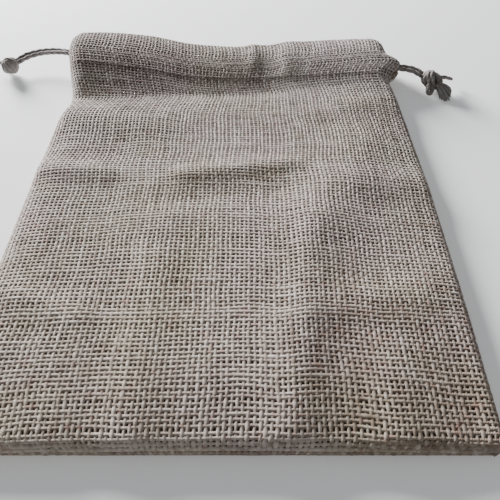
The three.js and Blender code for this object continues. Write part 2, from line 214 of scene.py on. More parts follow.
LEFT_ROUTE = (
    (-138.6, 251, 7.2), (-134.4, 255.2, 8.2), (-126, 258, 9.4), (-115, 257, 10.8), (-105, 253.4, 11.8),
    (-97.4, 250.8, 13.4), (-90, 249.6, 17.5), (-80, 249, 17), (-70, 248.6, 16.6), (-50, 246.8, 15.6),
    (-38, 245, 14.8), (-25, 242.8, 14), (-8, 241.2, 13.8), (8, 240.8, 13.8), (34, 243.4, 14),
    (60, 245, 14.2), (80, 246.2, 14.6),
    (84.8, 246.4, 13.8), (88.8, 246.5, 8.6), (84.8, 246.4, 3.7),
    (80, 246.2, 3.05), (40, 245, 3.05), (0, 244, 3.05), (-45, 245, 3.05), (-80, 246, 3.05),
    (-89.6, 246.6, 3.05), (-94.4, 247.8, 5.4), (-99, 249.2, 10), (-105, 250.3, 11.9),
    (-114.6, 253.9, 10.6), (-125, 255, 9), (-132, 252.9, 7.8), (-136.5, 249.1, 7),
)
RIGHT_ROUTE = (
    (117.1, 233.4, 7.8), (112.4, 236.6, 9), (106, 237.9, 9.7), (99, 238.3, 10.3),
    (92, 239.2, 11.7), (80, 239.6, 13.9), (60, 238.6, 13.3), (34, 236.6, 13.1), (20, 235.4, 13),
    (8, 234.8, 13), (-8, 235.2, 13), (-25, 236.4, 13.1), (-38, 238.2, 13.8), (-50, 240.2, 14.8),
    (-70, 242.2, 15.9), (-87, 243, 16.6),
    (-93, 243.2, 15.5), (-96, 243.2, 9.2), (-93.8, 243.2, 4.7),
    (-89.6, 243, 3.1), (-78, 242.6, 3.05), (-40, 240, 3.05), (0, 239, 3.05), (45, 239.4, 3.05),
    (74, 239.6, 3.05), (83.6, 238.8, 3.05), (88.6, 237.2, 4.9), (93.8, 235.6, 8.2), (99, 234.6, 10),
    (106, 234.2, 9.7), (111.6, 233, 8.8), (115.2, 230.2, 7.8),
)


# ---- Small maths ----
TINY = 1e-9  # keeps a division away from zero
UPRIGHT = 0.9  # how much of a direction is along z where it counts as upright


def smooth(value: Array) -> Array:
    """Eases 0 to 1, flat at both ends."""
    held = np.clip(value, 0, 1)
    return held * held * (3 - 2 * held)


def quarter_round(value: Array) -> Array:
    """Height of a quarter circle at a share of its radius."""
    return np.sqrt(np.maximum(0, 1 - (1 - np.clip(value, 0, 1)) ** 2))


def corner_inset(distance: Array, radius: float) -> Array:
    """How much a rounded corner draws a side in, this far from the corner."""
    return radius * (1 - quarter_round(distance / radius))


def unit(vectors: Array) -> Array:
    """Scales each vector to length one."""
    return vectors / np.maximum(np.linalg.norm(vectors, axis=-1, keepdims=True), TINY)


def read_table(rows: tuple, along: str, column: str, at: Array) -> Array:
    """Reads one column of a table on a smooth curve through its rows.

    Args:
        rows: the table's rows, in order.
        along: the column that the places are given in.
        column: the column to read.
        at: the places.

    Returns:
        The column's values at the places.
    """
    keys = np.array([getattr(row, along) for row in rows], float)
    values = np.array([getattr(row, column) for row in rows], float)
    last = len(rows) - 1
    at = np.asarray(at, float)
    row = np.clip(np.searchsorted(keys, at, side="right") - 1, 0, last - 1)
    place = np.clip((at - keys[row]) / (keys[row + 1] - keys[row]), 0, 1)
    slope_in = (values[row + 1] - values[np.maximum(row - 1, 0)]) / 2
    slope_out = (values[np.minimum(row + 2, last)] - values[row]) / 2
    p2, p3 = place**2, place**3
    return (
        (2 * p3 - 3 * p2 + 1) * values[row]
        + (p3 - 2 * p2 + place) * slope_in
        + (3 * p2 - 2 * p3) * values[row + 1]
        + (p3 - p2) * slope_out
    )


def waves(
    rng: np.random.Generator, x: Array, y: Array, shortest: float, longest: float, terms: int = 10
) -> Array:
    """A smooth random field over a plane.

    Args:
        rng: the seeded source of chance.
        x: places along the first direction.
        y: places along the second direction.
        shortest: the shortest wavelength.
        longest: the longest wavelength.
        terms: how many plane waves are added up.

    Returns:
        Values of about unit size.
    """
    total = np.zeros(np.broadcast(x, y).shape)
    for _ in range(terms):
        turn, phase = rng.uniform(0, 2 * math.pi, 2)
        size = 2 * math.pi / rng.uniform(shortest, longest)
        total = total + np.sin(size * (math.cos(turn) * x + math.sin(turn) * y) + phase)
    return total / math.sqrt(terms / 2)


def wobble(
    rng: np.random.Generator, yarns: int, stations: Array, shortest: float, longest: float, terms: int = 4
) -> Array:
    """Smooth random variation along each of many yarns.

    Args:
        rng: the seeded source of chance.
        yarns: how many yarns.
        stations: places along a yarn.
        shortest: the shortest wavelength, in the stations' unit.
        longest: the longest wavelength.
        terms: how many waves are added up.

    Returns:
        An array of yarns by stations, of about unit size.
    """
    size = 2 * math.pi / rng.uniform(shortest, longest, (yarns, terms, 1))
    phase = rng.uniform(0, 2 * math.pi, (yarns, terms, 1))
    return np.sin(size * stations[None, None, :] + phase).sum(1) / math.sqrt(terms / 2)


def distances(line: Array) -> Array:
    """How far along a line each of its points is."""
    return np.concatenate([[0], np.cumsum(np.linalg.norm(np.diff(line, axis=0), axis=1))])


def grid_distances(grid: Array, axis: int) -> Array:
    """How far each point of a grid is along its column or its row.

    Args:
        grid: points by rows and columns.
        axis: 0 to measure from the first row, 1 from the first column.

    Returns:
        The distances, by rows and columns.
    """
    steps = np.linalg.norm(np.diff(grid, axis=axis), axis=2)
    first = np.zeros_like(np.take(steps, [0], axis=axis))
    return np.concatenate([first, np.cumsum(steps, axis=axis)], axis=axis)


def resampled(line: Array, count: int) -> Array:
    """Spaces the points of a line evenly.

    Args:
        line: the line's points.
        count: how many points to give it.

    Returns:
        The new points, ends kept.
    """
    far = distances(line)
    at = np.linspace(0, far[-1], count)
    return np.column_stack([np.interp(at, far, line[:, k]) for k in range(3)])


def even_steps(line: Array, step: float) -> Array:
    """The same line with its points about one step apart, ends kept."""
    return resampled(line, max(2, int(round(distances(line)[-1] / step)) + 1))


def about_z(angle: float) -> Array:
    """The matrix of a turn about z, in radians."""
    cos, sin = math.cos(angle), math.sin(angle)
    return np.array([[cos, -sin, 0], [sin, cos, 0], [0, 0, 1]])


def along_route(points: tuple, step: float, between: int = 24) -> Array:
    """Samples a smooth curve through a cord's route at even steps.

    Args:
        points: the route's points, with y from the bottom seam.
        step: the distance between samples.
        between: how many points the curve is drawn through from one point of the route to the next.

    Returns:
        The samples, with y in the frame.
    """
    p = np.array(points, float)
    p[:, 1] -= SIZES.length / 2
    p = np.vstack([2 * p[0] - p[1], p, 2 * p[-1] - p[-2]])
    out = []
    for i in range(1, len(p) - 2):
        a, b, c, d = p[i - 1 : i + 3]
        t0 = 0.0
        t1 = t0 + np.linalg.norm(b - a) ** 0.5
        t2 = t1 + np.linalg.norm(c - b) ** 0.5
        t3 = t2 + np.linalg.norm(d - c) ** 0.5
        t = np.linspace(t1, t2, between, endpoint=i == len(p) - 3)[:, None]
        ab = (t1 - t) / (t1 - t0) * a + (t - t0) / (t1 - t0) * b
        bc = (t2 - t) / (t2 - t1) * b + (t - t1) / (t2 - t1) * c
        cd = (t3 - t) / (t3 - t2) * c + (t - t2) / (t3 - t2) * d
        abc = (t2 - t) / (t2 - t0) * ab + (t - t0) / (t2 - t0) * bc
        bcd = (t3 - t) / (t3 - t1) * bc + (t - t1) / (t3 - t1) * cd
        out.append((t2 - t) / (t2 - t1) * abc + (t - t1) / (t2 - t1) * bcd)
    return even_steps(np.vstack(out), step)


def frames_along(line: Array) -> tuple[Array, Array]:
    """Directions beside and above a line that turn no more than the line does.

    Args:
        line: the line's points.

    Returns:
        Unit vectors across and up at each point.
    """
    along = unit(np.gradient(line, axis=0))
    up = np.zeros_like(line)
    level = abs(along[0, 2]) < UPRIGHT
    held = np.array([0.0, 0.0, 1.0]) if level else np.array([1.0, 0.0, 0.0])
    for i, forward in enumerate(along):
        held = unit(held - np.dot(held, forward) * forward)
        up[i] = held
    return np.cross(up, along), up


# ---- Meshes ----
def new_object(name: str, mesh: bpy.types.Mesh) -> bpy.types.Object:
    """Puts a mesh in the scene as a piece of its own.

    Args:
        name: the piece's name.
        mesh: its finished mesh.

    Returns:
        The new object, at the origin.
    """
    piece = bpy.data.objects.new(name, mesh)
    bpy.context.scene.collection.objects.link(piece)
    return piece


def mesh_of(name: str, points: Array, loops: Array, starts: Array) -> bpy.types.Mesh:
    """Makes a smooth mesh from plain arrays.

    Args:
        name: the mesh's name.
        points: vertices, in millimetres.
        loops: vertex numbers, face after face.
        starts: where each face starts in loops.

    Returns:
        The mesh, in metres.
    """
    mesh = bpy.data.meshes.new(name)
    mesh.vertices.add(len(points))
    mesh.vertices.foreach_set("co", (points * MM).astype(np.float32).ravel())
    mesh.loops.add(len(loops))
    mesh.loops.foreach_set("vertex_index", loops.astype(np.int32))
    mesh.polygons.add(len(starts))
    mesh.polygons.foreach_set("loop_start", starts.astype(np.int32))
    mesh.update(calc_edges=True)
    mesh.polygons.foreach_set("use_smooth", np.ones(len(starts), bool))
    return mesh


def add_map(mesh: bpy.types.Mesh, name: str, places: Array) -> None:
    """Adds a UV map that gives each corner of each face its place."""
    mesh.uv_layers.new(name=name).data.foreach_set("uv", places.astype(np.float32).ravel())


def add_tint(mesh: bpy.types.Mesh, tint: Array) -> None:
    """Adds the paleness of each vertex, which the fibre finishes read."""
    mesh.attributes.new("tint", "FLOAT", "POINT").data.foreach_set("value", tint.astype(np.float32))


@dataclass(frozen=True)
class BakeLayout:
    """How a tube's strip and its two end caps lie in their box of the bake map, as shares of the box."""

    proportion: float = 12.0
    strip_left: float = 0.02
    strip_long: float = 0.94
    strip_low: float = 0.06
    strip_high: float = 0.88
    near_cap: float = 0.009
    far_cap: float = 0.977
    cap_wide: float = 0.007
    cap_high: float = 0.3
    cap_grain: float = 0.2


BAKE = BakeLayout()


@dataclass
class TubeBundle:
    """Many tubes with as many rings each, every one closed at both ends, joined in one mesh.

    Arrays are tubes by rings. The grain map holds millimetres along each tube and the share of its girth.
    """

    centres: Array
    across: Array
    up: Array
    half_width: Array
    half_height: Array
    tint: Array
    sides: int = 6
    corners: tuple[float, ...] = ()

    def _turns(self) -> Array:
        """The section's corners, as angles from its across direction: even unless they are given."""
        if self.corners:
            return np.radians(self.corners)
        return 2 * math.pi * np.arange(self.sides) / self.sides

    def build(self, name: str) -> bpy.types.Object:
        """Makes the joined mesh with its tint, its grain map and its bake map.

        Args:
            name: the piece's name.

        Returns:
            The new object.
        """
        tubes, rings, _ = self.centres.shape
        sides = self.sides
        turn = self._turns()
        points = (
            self.centres[:, :, None, :]
            + self.across[:, :, None, :] * (self.half_width[..., None] * np.cos(turn))[..., None]
            + self.up[:, :, None, :] * (self.half_height[..., None] * np.sin(turn))[..., None]
        )
        first = (np.arange(tubes) * rings * sides)[:, None, None]
        ring = (np.arange(rings - 1) * sides)[None, :, None]
        side = np.arange(sides)[None, None, :]
        beside = (side + 1) % sides
        quads = np.stack(
            [
                first + ring + side,
                first + ring + beside,
                first + ring + sides + beside,
                first + ring + sides + side,
            ],
            axis=-1,
        ).reshape(-1, 4)
        start = first[:, 0, :]
        near = (start + np.arange(sides)[::-1][None, :]).reshape(-1, sides)
        far = (start + (rings - 1) * sides + np.arange(sides)[None, :]).reshape(-1, sides)
        caps = np.concatenate([near, far])
        loops = np.concatenate([quads.ravel(), caps.ravel()])
        starts = np.concatenate([np.arange(len(quads)) * 4, len(quads) * 4 + np.arange(len(caps)) * sides])
        mesh = mesh_of(name, points.reshape(-1, 3), loops, starts)
        self._add_maps(mesh, tubes, rings)
        add_tint(mesh, np.repeat(self.tint.ravel(), sides))
        return new_object(name, mesh)

    def _add_maps(self, mesh: bpy.types.Mesh, tubes: int, rings: int) -> None:
        """Lays each tube out as a strip of its own, for its grain and for baking.

        Args:
            mesh: the mesh to add the maps to.
            tubes: how many tubes it holds.
            rings: how many rings each tube has.
        """
        sides = self.sides
        far = grid_distances(self.centres, axis=1)
        tube, ring, side = np.meshgrid(
            np.arange(tubes), np.arange(rings - 1), np.arange(sides), indexing="ij"
        )
        rings_of = np.stack([ring, ring, ring + 1, ring + 1], axis=-1)
        sides_of = np.stack([side, side + 1, side + 1, side], axis=-1)
        tube_of = np.broadcast_to(tube[..., None], rings_of.shape)
        length = far[tube_of, rings_of]
        share = sides_of / sides
        columns = max(1, int(math.sqrt(tubes * BAKE.proportion / max(1.0, far[:, -1].mean()))))
        lines = math.ceil(tubes / columns)
        part = length / np.maximum(far[:, -1], TINY)[tube_of]
        strip_u = (tube_of % columns + BAKE.strip_left + BAKE.strip_long * part) / columns
        strip_v = (tube_of // columns + BAKE.strip_low + BAKE.strip_high * share) / lines
        turn = 2 * math.pi * np.arange(sides) / sides
        beside, above = np.cos(turn)[None, :], np.sin(turn)[None, :]
        both = np.concatenate([np.arange(tubes)] * 2)
        near = np.repeat([True, False], tubes)
        cap_u = both % columns + np.where(near, BAKE.near_cap, BAKE.far_cap)
        cap_v = both // columns + 0.5
        cap_u = (cap_u[:, None] + BAKE.cap_wide * beside) / columns
        cap_v = (cap_v[:, None] + BAKE.cap_high * above) / lines
        cap_far = np.where(near, 0.0, far[both, -1])[:, None] + BAKE.cap_grain * beside
        cap_share = 0.5 + BAKE.cap_grain * above + 0 * cap_far
        add_map(mesh, "grain", self._joined(length, cap_far, share, cap_share))
        add_map(mesh, "OFBake", self._joined(strip_u, cap_u, strip_v, cap_v))

    @staticmethod
    def _joined(u: Array, cap_u: Array, v: Array, cap_v: Array) -> Array:
        """Joins the strips' corners and the caps'.

        Args:
            u: the strips' first numbers.
            cap_u: the caps' first numbers.
            v: the strips' second numbers.
            cap_v: the caps' second numbers.

        Returns:
            Pairs of numbers, one for each corner of each face.
        """
        first = np.concatenate([u.ravel(), cap_u.ravel()])
        second = np.concatenate([v.ravel(), cap_v.ravel()])
        return np.stack([first, second], axis=-1)


# ---- The panels' forms ----
@dataclass
class PanelForm:
    """The outer face of one panel: from its bottom seam, over the mouth's fold, to the end of its hem."""

    face: Face
    sizes: BagSizes = SIZES
    rolls: int = 9
    middles: int = 96
    bottom_rows: int = 7
    body_rows: int = 90
    casing_rows: int = 30
    fold_rows: int = 15
    hem_rows: int = 16

    def _columns(self) -> tuple[Array, Array, Array]:
        """The columns' places.

        Returns:
            Shares of the left roll, of the cloth between the rolls and of the right roll, or not a number.
        """
        roll = 1 - np.cos(np.linspace(0, math.pi / 2, self.rolls, endpoint=False))
        middle = np.linspace(0, 1, self.middles)
        none = np.full(self.rolls, np.nan)
        empty = np.full(self.middles, np.nan)
        return (
            np.concatenate([roll, empty, none]),
            np.concatenate([none, middle, none]),
            np.concatenate([none, empty, roll[::-1]]),
        )

    def _x(self, y: Array, inset: Array, tucked: Array) -> Array:
        """x of every column, with its sides drawn in or tucked in to the hem's ends.

        Args:
            y: distances from the bottom seam.
            inset: how far the rounded corners draw the sides in.
            tucked: how far the sides have gone in to the hem's ends, 0 to 1.

        Returns:
            x, by columns.
        """
        left_roll, middle, right_roll = self._columns()
        left = read_table(SIDES, "y", "left", y) + inset
        right = read_table(SIDES, "y", "right", y) - inset
        left = left + (self.sizes.hem_left - left) * tucked
        right = right + (self.sizes.hem_right - right) * tucked
        roll = self._roll(y)
        between = left + roll + (right - left - 2 * roll) * middle
        x = np.where(np.isnan(left_roll), between, left + left_roll * roll)
        return np.where(np.isnan(right_roll), x, right - right_roll * roll)

    def _roll(self, y: Array) -> Array:
        """Radius of the turned edge, which grows towards the casing.

        Args:
            y: distances from the bottom seam.

        Returns:
            The radii.
        """
        s = self.sizes
        grown = smooth((y - s.end_roll_from) / s.end_roll_over)
        return s.side_roll + (s.end_roll - s.side_roll) * grown

    def _side(self, x: Array, y: Array, inset: Array) -> tuple[Array, Array, Array]:
        """How far a point is over the turned edge, its seam's height, and how far the seam is open.

        Args:
            x: places across the pouch.
            y: distances from the bottom seam.
            inset: how far the rounded corners draw the sides in.

        Returns:
            Shares of the roll's radius, heights of the seam and its openings.
        """
        left = read_table(SIDES, "y", "left", y) + inset
        right = read_table(SIDES, "y", "right", y) - inset
        on_left = x - left < right - x
        inside = np.where(on_left, x - left, right - x) / self._roll(y)
        seam = np.where(on_left, read_table(SIDES, "y", "left_z", y), read_table(SIDES, "y", "right_z", y))
        middle = np.where(on_left, self.sizes.exit_left, self.sizes.exit_right)
        away = np.minimum(1, np.abs(y - middle) / self.sizes.exit_reach)
        opening = np.maximum(self.sizes.seam_gap, self.sizes.exit_opening * (1 - away**4))
        return inside, seam, opening

    def _mouth(self, x: Array) -> dict[str, Array]:
        """The mouth's sizes at each x.

        Args:
            x: places across the pouch.

        Returns:
            The columns of MOUTH, with the radius and the start of the fold.
        """
        radius = self.sizes.cloth + self.sizes.front_tunnel / 2
        names = ("crease_y", "crease_z", "stitch_y", "crest_z", "edge_y")
        mouth = {name: read_table(MOUTH, "x", name, x) for name in names}
        return mouth | {"radius": radius, "fold_y": mouth["edge_y"] - radius}

    def front_height(self, x: Array, y: Array, fold_share: float = 1.0) -> Array:
        """Height of the front panel's outer face, before its sides are rolled down.

        Args:
            x: places across the pouch.
            y: distances from the bottom seam.
            fold_share: how much of the small folds to follow.

        Returns:
            The heights.
        """
        s = self.sizes
        mouth = self._mouth(x)
        folds = np.zeros(np.broadcast(x, y).shape)
        for fold in FOLDS:
            run = np.array([fold.x1 - fold.x0, fold.y1 - fold.y0])
            long = float(np.hypot(*run))
            along = ((x - fold.x0) * run[0] + (y - fold.y0) * run[1]) / long
            across = ((x - fold.x0) * run[1] - (y - fold.y0) * run[0]) / long
            past = np.maximum(np.maximum(-along, along - long), 0) / (s.fold_fade * fold.wide)
            folds = folds + fold.lift * np.exp(-((across / fold.wide) ** 2) - past**2)
        folds = folds * fold_share
        place = (y - mouth["crease_y"]) / (mouth["fold_y"] - mouth["crease_y"])
        rise = np.sin(s.casing_arch * np.clip(place, 0, 1) * math.pi / 2) ** s.casing_round
        casing = mouth["crease_z"] + (mouth["crest_z"] - mouth["crease_z"]) * rise + folds * smooth(place * 2)
        across_bag = np.clip(1 - np.abs(x / s.loft_reach) ** 3, 0, 1)
        from_bottom = 1 - (1 - np.clip(y / s.loft_rise, 0, 1)) ** 2
        body = s.edge_loft + s.middle_loft * across_bag * from_bottom + folds
        near = np.exp(-(((mouth["crease_y"] - y) / s.crease_width) ** 2))
        body = body + (mouth["crease_z"] - body) * near
        return np.where(y > mouth["crease_y"], casing, body)

    def _surface(self, x: Array, y: Array, inset: Array) -> Array:
        """Height of the panel's outer face with its sides and bottom turned to the seam.

        Args:
            x: places across the pouch.
            y: distances from the bottom seam.
            inset: how far the rounded corners draw the sides in.

        Returns:
            The heights.
        """
        inside, seam_z, opening = self._side(x, y, inset)
        over = quarter_round(inside) * quarter_round(y / self.sizes.side_roll)
        if self.face is Face.BACK:
            return (seam_z - opening / 2) * (1 - over)
        seam = seam_z + opening / 2
        return seam + (self.front_height(x, y) - seam) * over

    def outer_face(self) -> Array:
        """Every row and column of the outer face.

        Returns:
            Points by rows, from the bottom seam on, and columns, from the left seam on.
        """
        s = self.sizes
        middle_x = self._x(np.array([s.length / 2]), np.zeros(1), np.zeros(1))
        mouth = self._mouth(middle_x)
        if self.face is Face.FRONT:
            radius, fold_y, edge_y = mouth["radius"], mouth["fold_y"], mouth["edge_y"]
            crease_y, stitch_y, tunnel = mouth["crease_y"], mouth["stitch_y"], s.front_tunnel
            hem_end = stitch_y - s.hem_past_stitch
        else:
            radius = s.cloth + s.back_tunnel / 2
            edge_y = np.full_like(middle_x, s.back_edge)
            fold_y = edge_y - radius
            stitch_y, tunnel = s.back_stitch, s.back_tunnel
            crease_y = hem_end = np.full_like(middle_x, stitch_y - s.hem_past_stitch)
        lines = []
        for angle in np.linspace(0, math.pi / 2, self.bottom_rows, endpoint=False):
            lines.append(self._sheet_line(s.side_roll * (1 - math.cos(angle)) + 0 * fold_y, edge_y))
        for at in np.linspace(0, 1, self.body_rows, endpoint=False):
            lines.append(self._sheet_line(s.side_roll + (crease_y - s.side_roll) * at, edge_y))
        for at in np.linspace(0, 1, self.casing_rows):
            lines.append(self._sheet_line(crease_y + (fold_y - crease_y) * at, edge_y))
        for angle in np.radians(np.linspace(90, -90, self.fold_rows)[1:-1]):
            y = fold_y + radius * math.cos(angle)
            tucked = smooth((s.tuck_angle - math.degrees(angle)) / (2 * s.tuck_angle))
            x = self._x(y, corner_inset(edge_y - y, s.mouth_corner), tucked)
            top = self._surface(x, fold_y, corner_inset(radius + 0 * fold_y, s.mouth_corner))
            z = top - self.face.value * radius * (1 - math.sin(angle))
            lines.append(np.stack([x, y, z], axis=-1))
        for at in np.linspace(0, 1, self.hem_rows):
            y = fold_y + (hem_end - fold_y) * at
            x = self._x(y, 0 * y, 1 + 0 * y)
            open_by = s.layer_gap + (tunnel - s.layer_gap) * smooth((y - stitch_y) / s.stitch_taper)
            if self.face is Face.FRONT:
                z = self.front_height(x, y, 0.0) - 2 * s.cloth - open_by
            else:
                z = 2 * s.cloth + open_by
            lines.append(np.stack([x, y, z], axis=-1))
        face = np.stack([line.reshape(-1, 3) for line in lines])
        face[..., 1] -= s.length / 2
        return face

    def _sheet_line(self, y: Array, edge_y: Array) -> Array:
        """One row of the body or casing, with its corners rounded.

        Args:
            y: distances from the bottom seam.
            edge_y: the mouth's folded edge.

        Returns:
            The points of the row.
        """
        inset = np.maximum(
            corner_inset(y, self.sizes.bottom_corner), corner_inset(edge_y - y, self.sizes.mouth_corner)
        )
        x = self._x(y, inset, 0 * y)
        return np.stack([x, y, self._surface(x, y, inset)], axis=-1)


@dataclass
class ClothGrid:
    """A panel's cloth unrolled: its place and directions by share of width and millimetres of length.

    The cloth is unstretched up to even_below. The margin keeps a place inside the last row and column.
    """

    form: PanelForm
    even_below: float = 150.0
    columns: int = 361
    step: float = 0.7
    margin: float = 1.001
    points: Array = field(init=False)
    normals: Array = field(init=False)
    across: Array = field(init=False)
    along: Array = field(init=False)
    length: float = field(init=False)
    edge: float = field(init=False)

    def __post_init__(self) -> None:
        """Unrolls the form: even across each row, and the mouth's folded edge on one weft."""
        face = self.form.outer_face()
        rows = np.stack([resampled(row, self.columns) for row in face])
        far = grid_distances(rows, axis=0)
        at_edge = far[self._edge_row()]
        self.edge = float(at_edge.mean())
        self.length = float((self.edge + far[-1] - at_edge).min())
        cloth = np.arange(0, self.length, self.step)
        low = self.even_below
        lines = []
        for column in range(self.columns):
            stretch = (at_edge[column] - low) / (self.edge - low)
            place = np.where(cloth < low, cloth, low + (cloth - low) * stretch)
            place = np.where(cloth > self.edge, at_edge[column] + cloth - self.edge, place)
            lines.append(
                np.column_stack([np.interp(place, far[:, column], rows[:, column, k]) for k in range(3)])
            )
        self.points = np.stack(lines, axis=1)
        self.along = unit(np.gradient(self.points, axis=0))
        self.across = unit(np.gradient(self.points, axis=1))
        normals = np.cross(self.across, self.along) * self.form.face.value
        self.normals = unit(normals)

    def _edge_row(self) -> int:
        """The row that runs along the mouth's outermost edge, halfway round its fold."""
        form = self.form
        return form.bottom_rows + form.body_rows + form.casing_rows + form.fold_rows // 2 - 1

    def at(self, share: Array, cloth: Array) -> tuple[Array, Array, Array, Array]:
        """Reads the cloth between its rows and columns.

        Args:
            share: shares of the panel's width, from the left seam.
            cloth: millimetres along the cloth, from the bottom seam.

        Returns:
            Points, normals, and directions across and along.
        """
        i = np.clip(cloth / self.step, 0, len(self.points) - self.margin)
        j = np.clip(share * (self.columns - 1), 0, self.columns - self.margin)
        i0, j0 = i.astype(int), j.astype(int)
        fi, fj = (i - i0)[..., None], (j - j0)[..., None]
        out = []
        for grid in (self.points, self.normals, self.across, self.along):
            low = grid[i0, j0] * (1 - fj) + grid[i0, j0 + 1] * fj
            high = grid[i0 + 1, j0] * (1 - fj) + grid[i0 + 1, j0 + 1] * fj
            out.append(low * (1 - fi) + high * fi)
        return out[0], unit(out[1]), unit(out[2]), unit(out[3])


# ---- Finishes ----
class Board:
    """A material or node group being wired, with short calls to add and join nodes."""

    NODE_SPACE = (180, -220)
    NODES_A_LINE = 8
    MIX_INPUTS = (0, 6, 7)

    def __init__(self, tree: bpy.types.NodeTree) -> None:
        """Starts on an empty node tree."""
        self.tree = tree
        self.count = 0

    def add(self, kind: str, **values: object) -> bpy.types.Node:
        """Adds a node and sets its properties.

        Args:
            kind: the node's type.
            values: its properties, by name.

        Returns:
            The node.
        """
        node = self.tree.nodes.new(kind)
        self.count += 1
        line, place = divmod(self.count, self.NODES_A_LINE)
        node.location = (self.NODE_SPACE[0] * place, self.NODE_SPACE[1] * line)
        for name, value in values.items():
            setattr(node, name, value)
        return node

    def join(self, source: bpy.types.NodeSocket, target: bpy.types.NodeSocket) -> None:
        """Links one socket to another."""
        self.tree.links.new(source, target)

    def maths(self, kind: str, *values: object) -> bpy.types.NodeSocket:
        """Adds a Math node.

        Args:
            kind: its operation.
            values: numbers, or sockets to link.

        Returns:
            Its output socket.
        """
        node = self.add("ShaderNodeMath", operation=kind)
        for place, value in enumerate(values):
            if isinstance(value, bpy.types.NodeSocket):
                self.join(value, node.inputs[place])
            else:
                node.inputs[place].default_value = value
        return node.outputs[0]

    def noise(self, vector: bpy.types.NodeSocket, scale: float, detail: float = 2.0) -> bpy.types.NodeSocket:
        """Adds a Noise Texture.

        Args:
            vector: where to read it.
            scale: its scale.
            detail: its detail.

        Returns:
            Its value.
        """
        node = self.add("ShaderNodeTexNoise")
        node.inputs["Scale"].default_value = scale
        node.inputs["Detail"].default_value = detail
        self.join(vector, node.inputs["Vector"])
        return node.outputs[0]

    def scaled(self, vector: bpy.types.NodeSocket, scale: Colour) -> bpy.types.NodeSocket:
        """Adds a Mapping node that scales a pattern.

        Args:
            vector: the pattern's places.
            scale: along x, y and z.

        Returns:
            The scaled places.
        """
        node = self.add("ShaderNodeMapping", vector_type="POINT")
        node.inputs["Scale"].default_value = scale
        self.join(vector, node.inputs["Vector"])
        return node.outputs[0]

    def split(self, vector: bpy.types.NodeSocket) -> list[bpy.types.NodeSocket]:
        """Adds a Separate XYZ node.

        Args:
            vector: what to take apart.

        Returns:
            Its three numbers.
        """
        node = self.add("ShaderNodeSeparateXYZ")
        self.join(vector, node.inputs[0])
        return list(node.outputs)

    def bump(self, height: bpy.types.NodeSocket, strength: float, distance: float) -> bpy.types.NodeSocket:
        """Adds a Bump node.

        Args:
            height: the relief.
            strength: how much of it to use.
            distance: its depth in metres.

        Returns:
            The normal.
        """
        node = self.add("ShaderNodeBump")
        node.inputs["Strength"].default_value = strength
        node.inputs["Distance"].default_value = distance
        self.join(height, node.inputs["Height"])
        return node.outputs[0]

    def ramp(self, value: bpy.types.NodeSocket, stops: list[tuple[float, Colour]]) -> bpy.types.NodeSocket:
        """Adds a Color Ramp.

        Args:
            value: what to colour.
            stops: each colour's place and the colour.

        Returns:
            The colour.
        """
        node = self.add("ShaderNodeValToRGB")
        band = node.color_ramp
        while len(band.elements) < len(stops):
            band.elements.new(0.5)
        for element, (place, colour) in zip(band.elements, stops):
            element.position = place
            element.color = (*colour, 1)
        self.join(value, node.inputs[0])
        return node.outputs[0]

    def mix(self, share: object, first: object, second: object) -> bpy.types.NodeSocket:
        """Adds a colour Mix node.

        Args:
            share: how much of the second colour, a number or a socket.
            first: a colour or a socket.
            second: a colour or a socket.

        Returns:
            The mixed colour.
        """
        return self._blend("MIX", share, first, second)

    def times(self, share: object, first: object, second: object) -> bpy.types.NodeSocket:
        """Adds a Mix node that multiplies colours, with the sockets and numbers that mix takes."""
        return self._blend("MULTIPLY", share, first, second)

    def _blend(self, kind: str, share: object, first: object, second: object) -> bpy.types.NodeSocket:
        """Adds a colour Mix node of any kind.

        Args:
            kind: how it mixes.
            share: how much of the second.
            first: a colour or a socket.
            second: a colour or a socket.

        Returns:
            Its colour.
        """
        node = self.add("ShaderNodeMix", data_type="RGBA", blend_type=kind)
        for place, value in zip(self.MIX_INPUTS, (share, first, second)):
            if isinstance(value, bpy.types.NodeSocket):
                self.join(value, node.inputs[place])
            else:
                node.inputs[place].default_value = value if place == 0 else (*value, 1)
        return node.outputs[2]


def new_material(
    name: str,
) -> tuple[bpy.types.Material, Board, bpy.types.Node, bpy.types.NodeSocket]:
    """Starts a material.

    Args:
        name: the material's name.

    Returns:
        The material, its board, its shader and its object coordinates.
    """
    made = bpy.data.materials.new(name)
    made.use_nodes = True
    board = Board(made.node_tree)
    shader = made.node_tree.nodes["Principled BSDF"]
    return made, board, shader, board.add("ShaderNodeTexCoord").outputs["Object"]


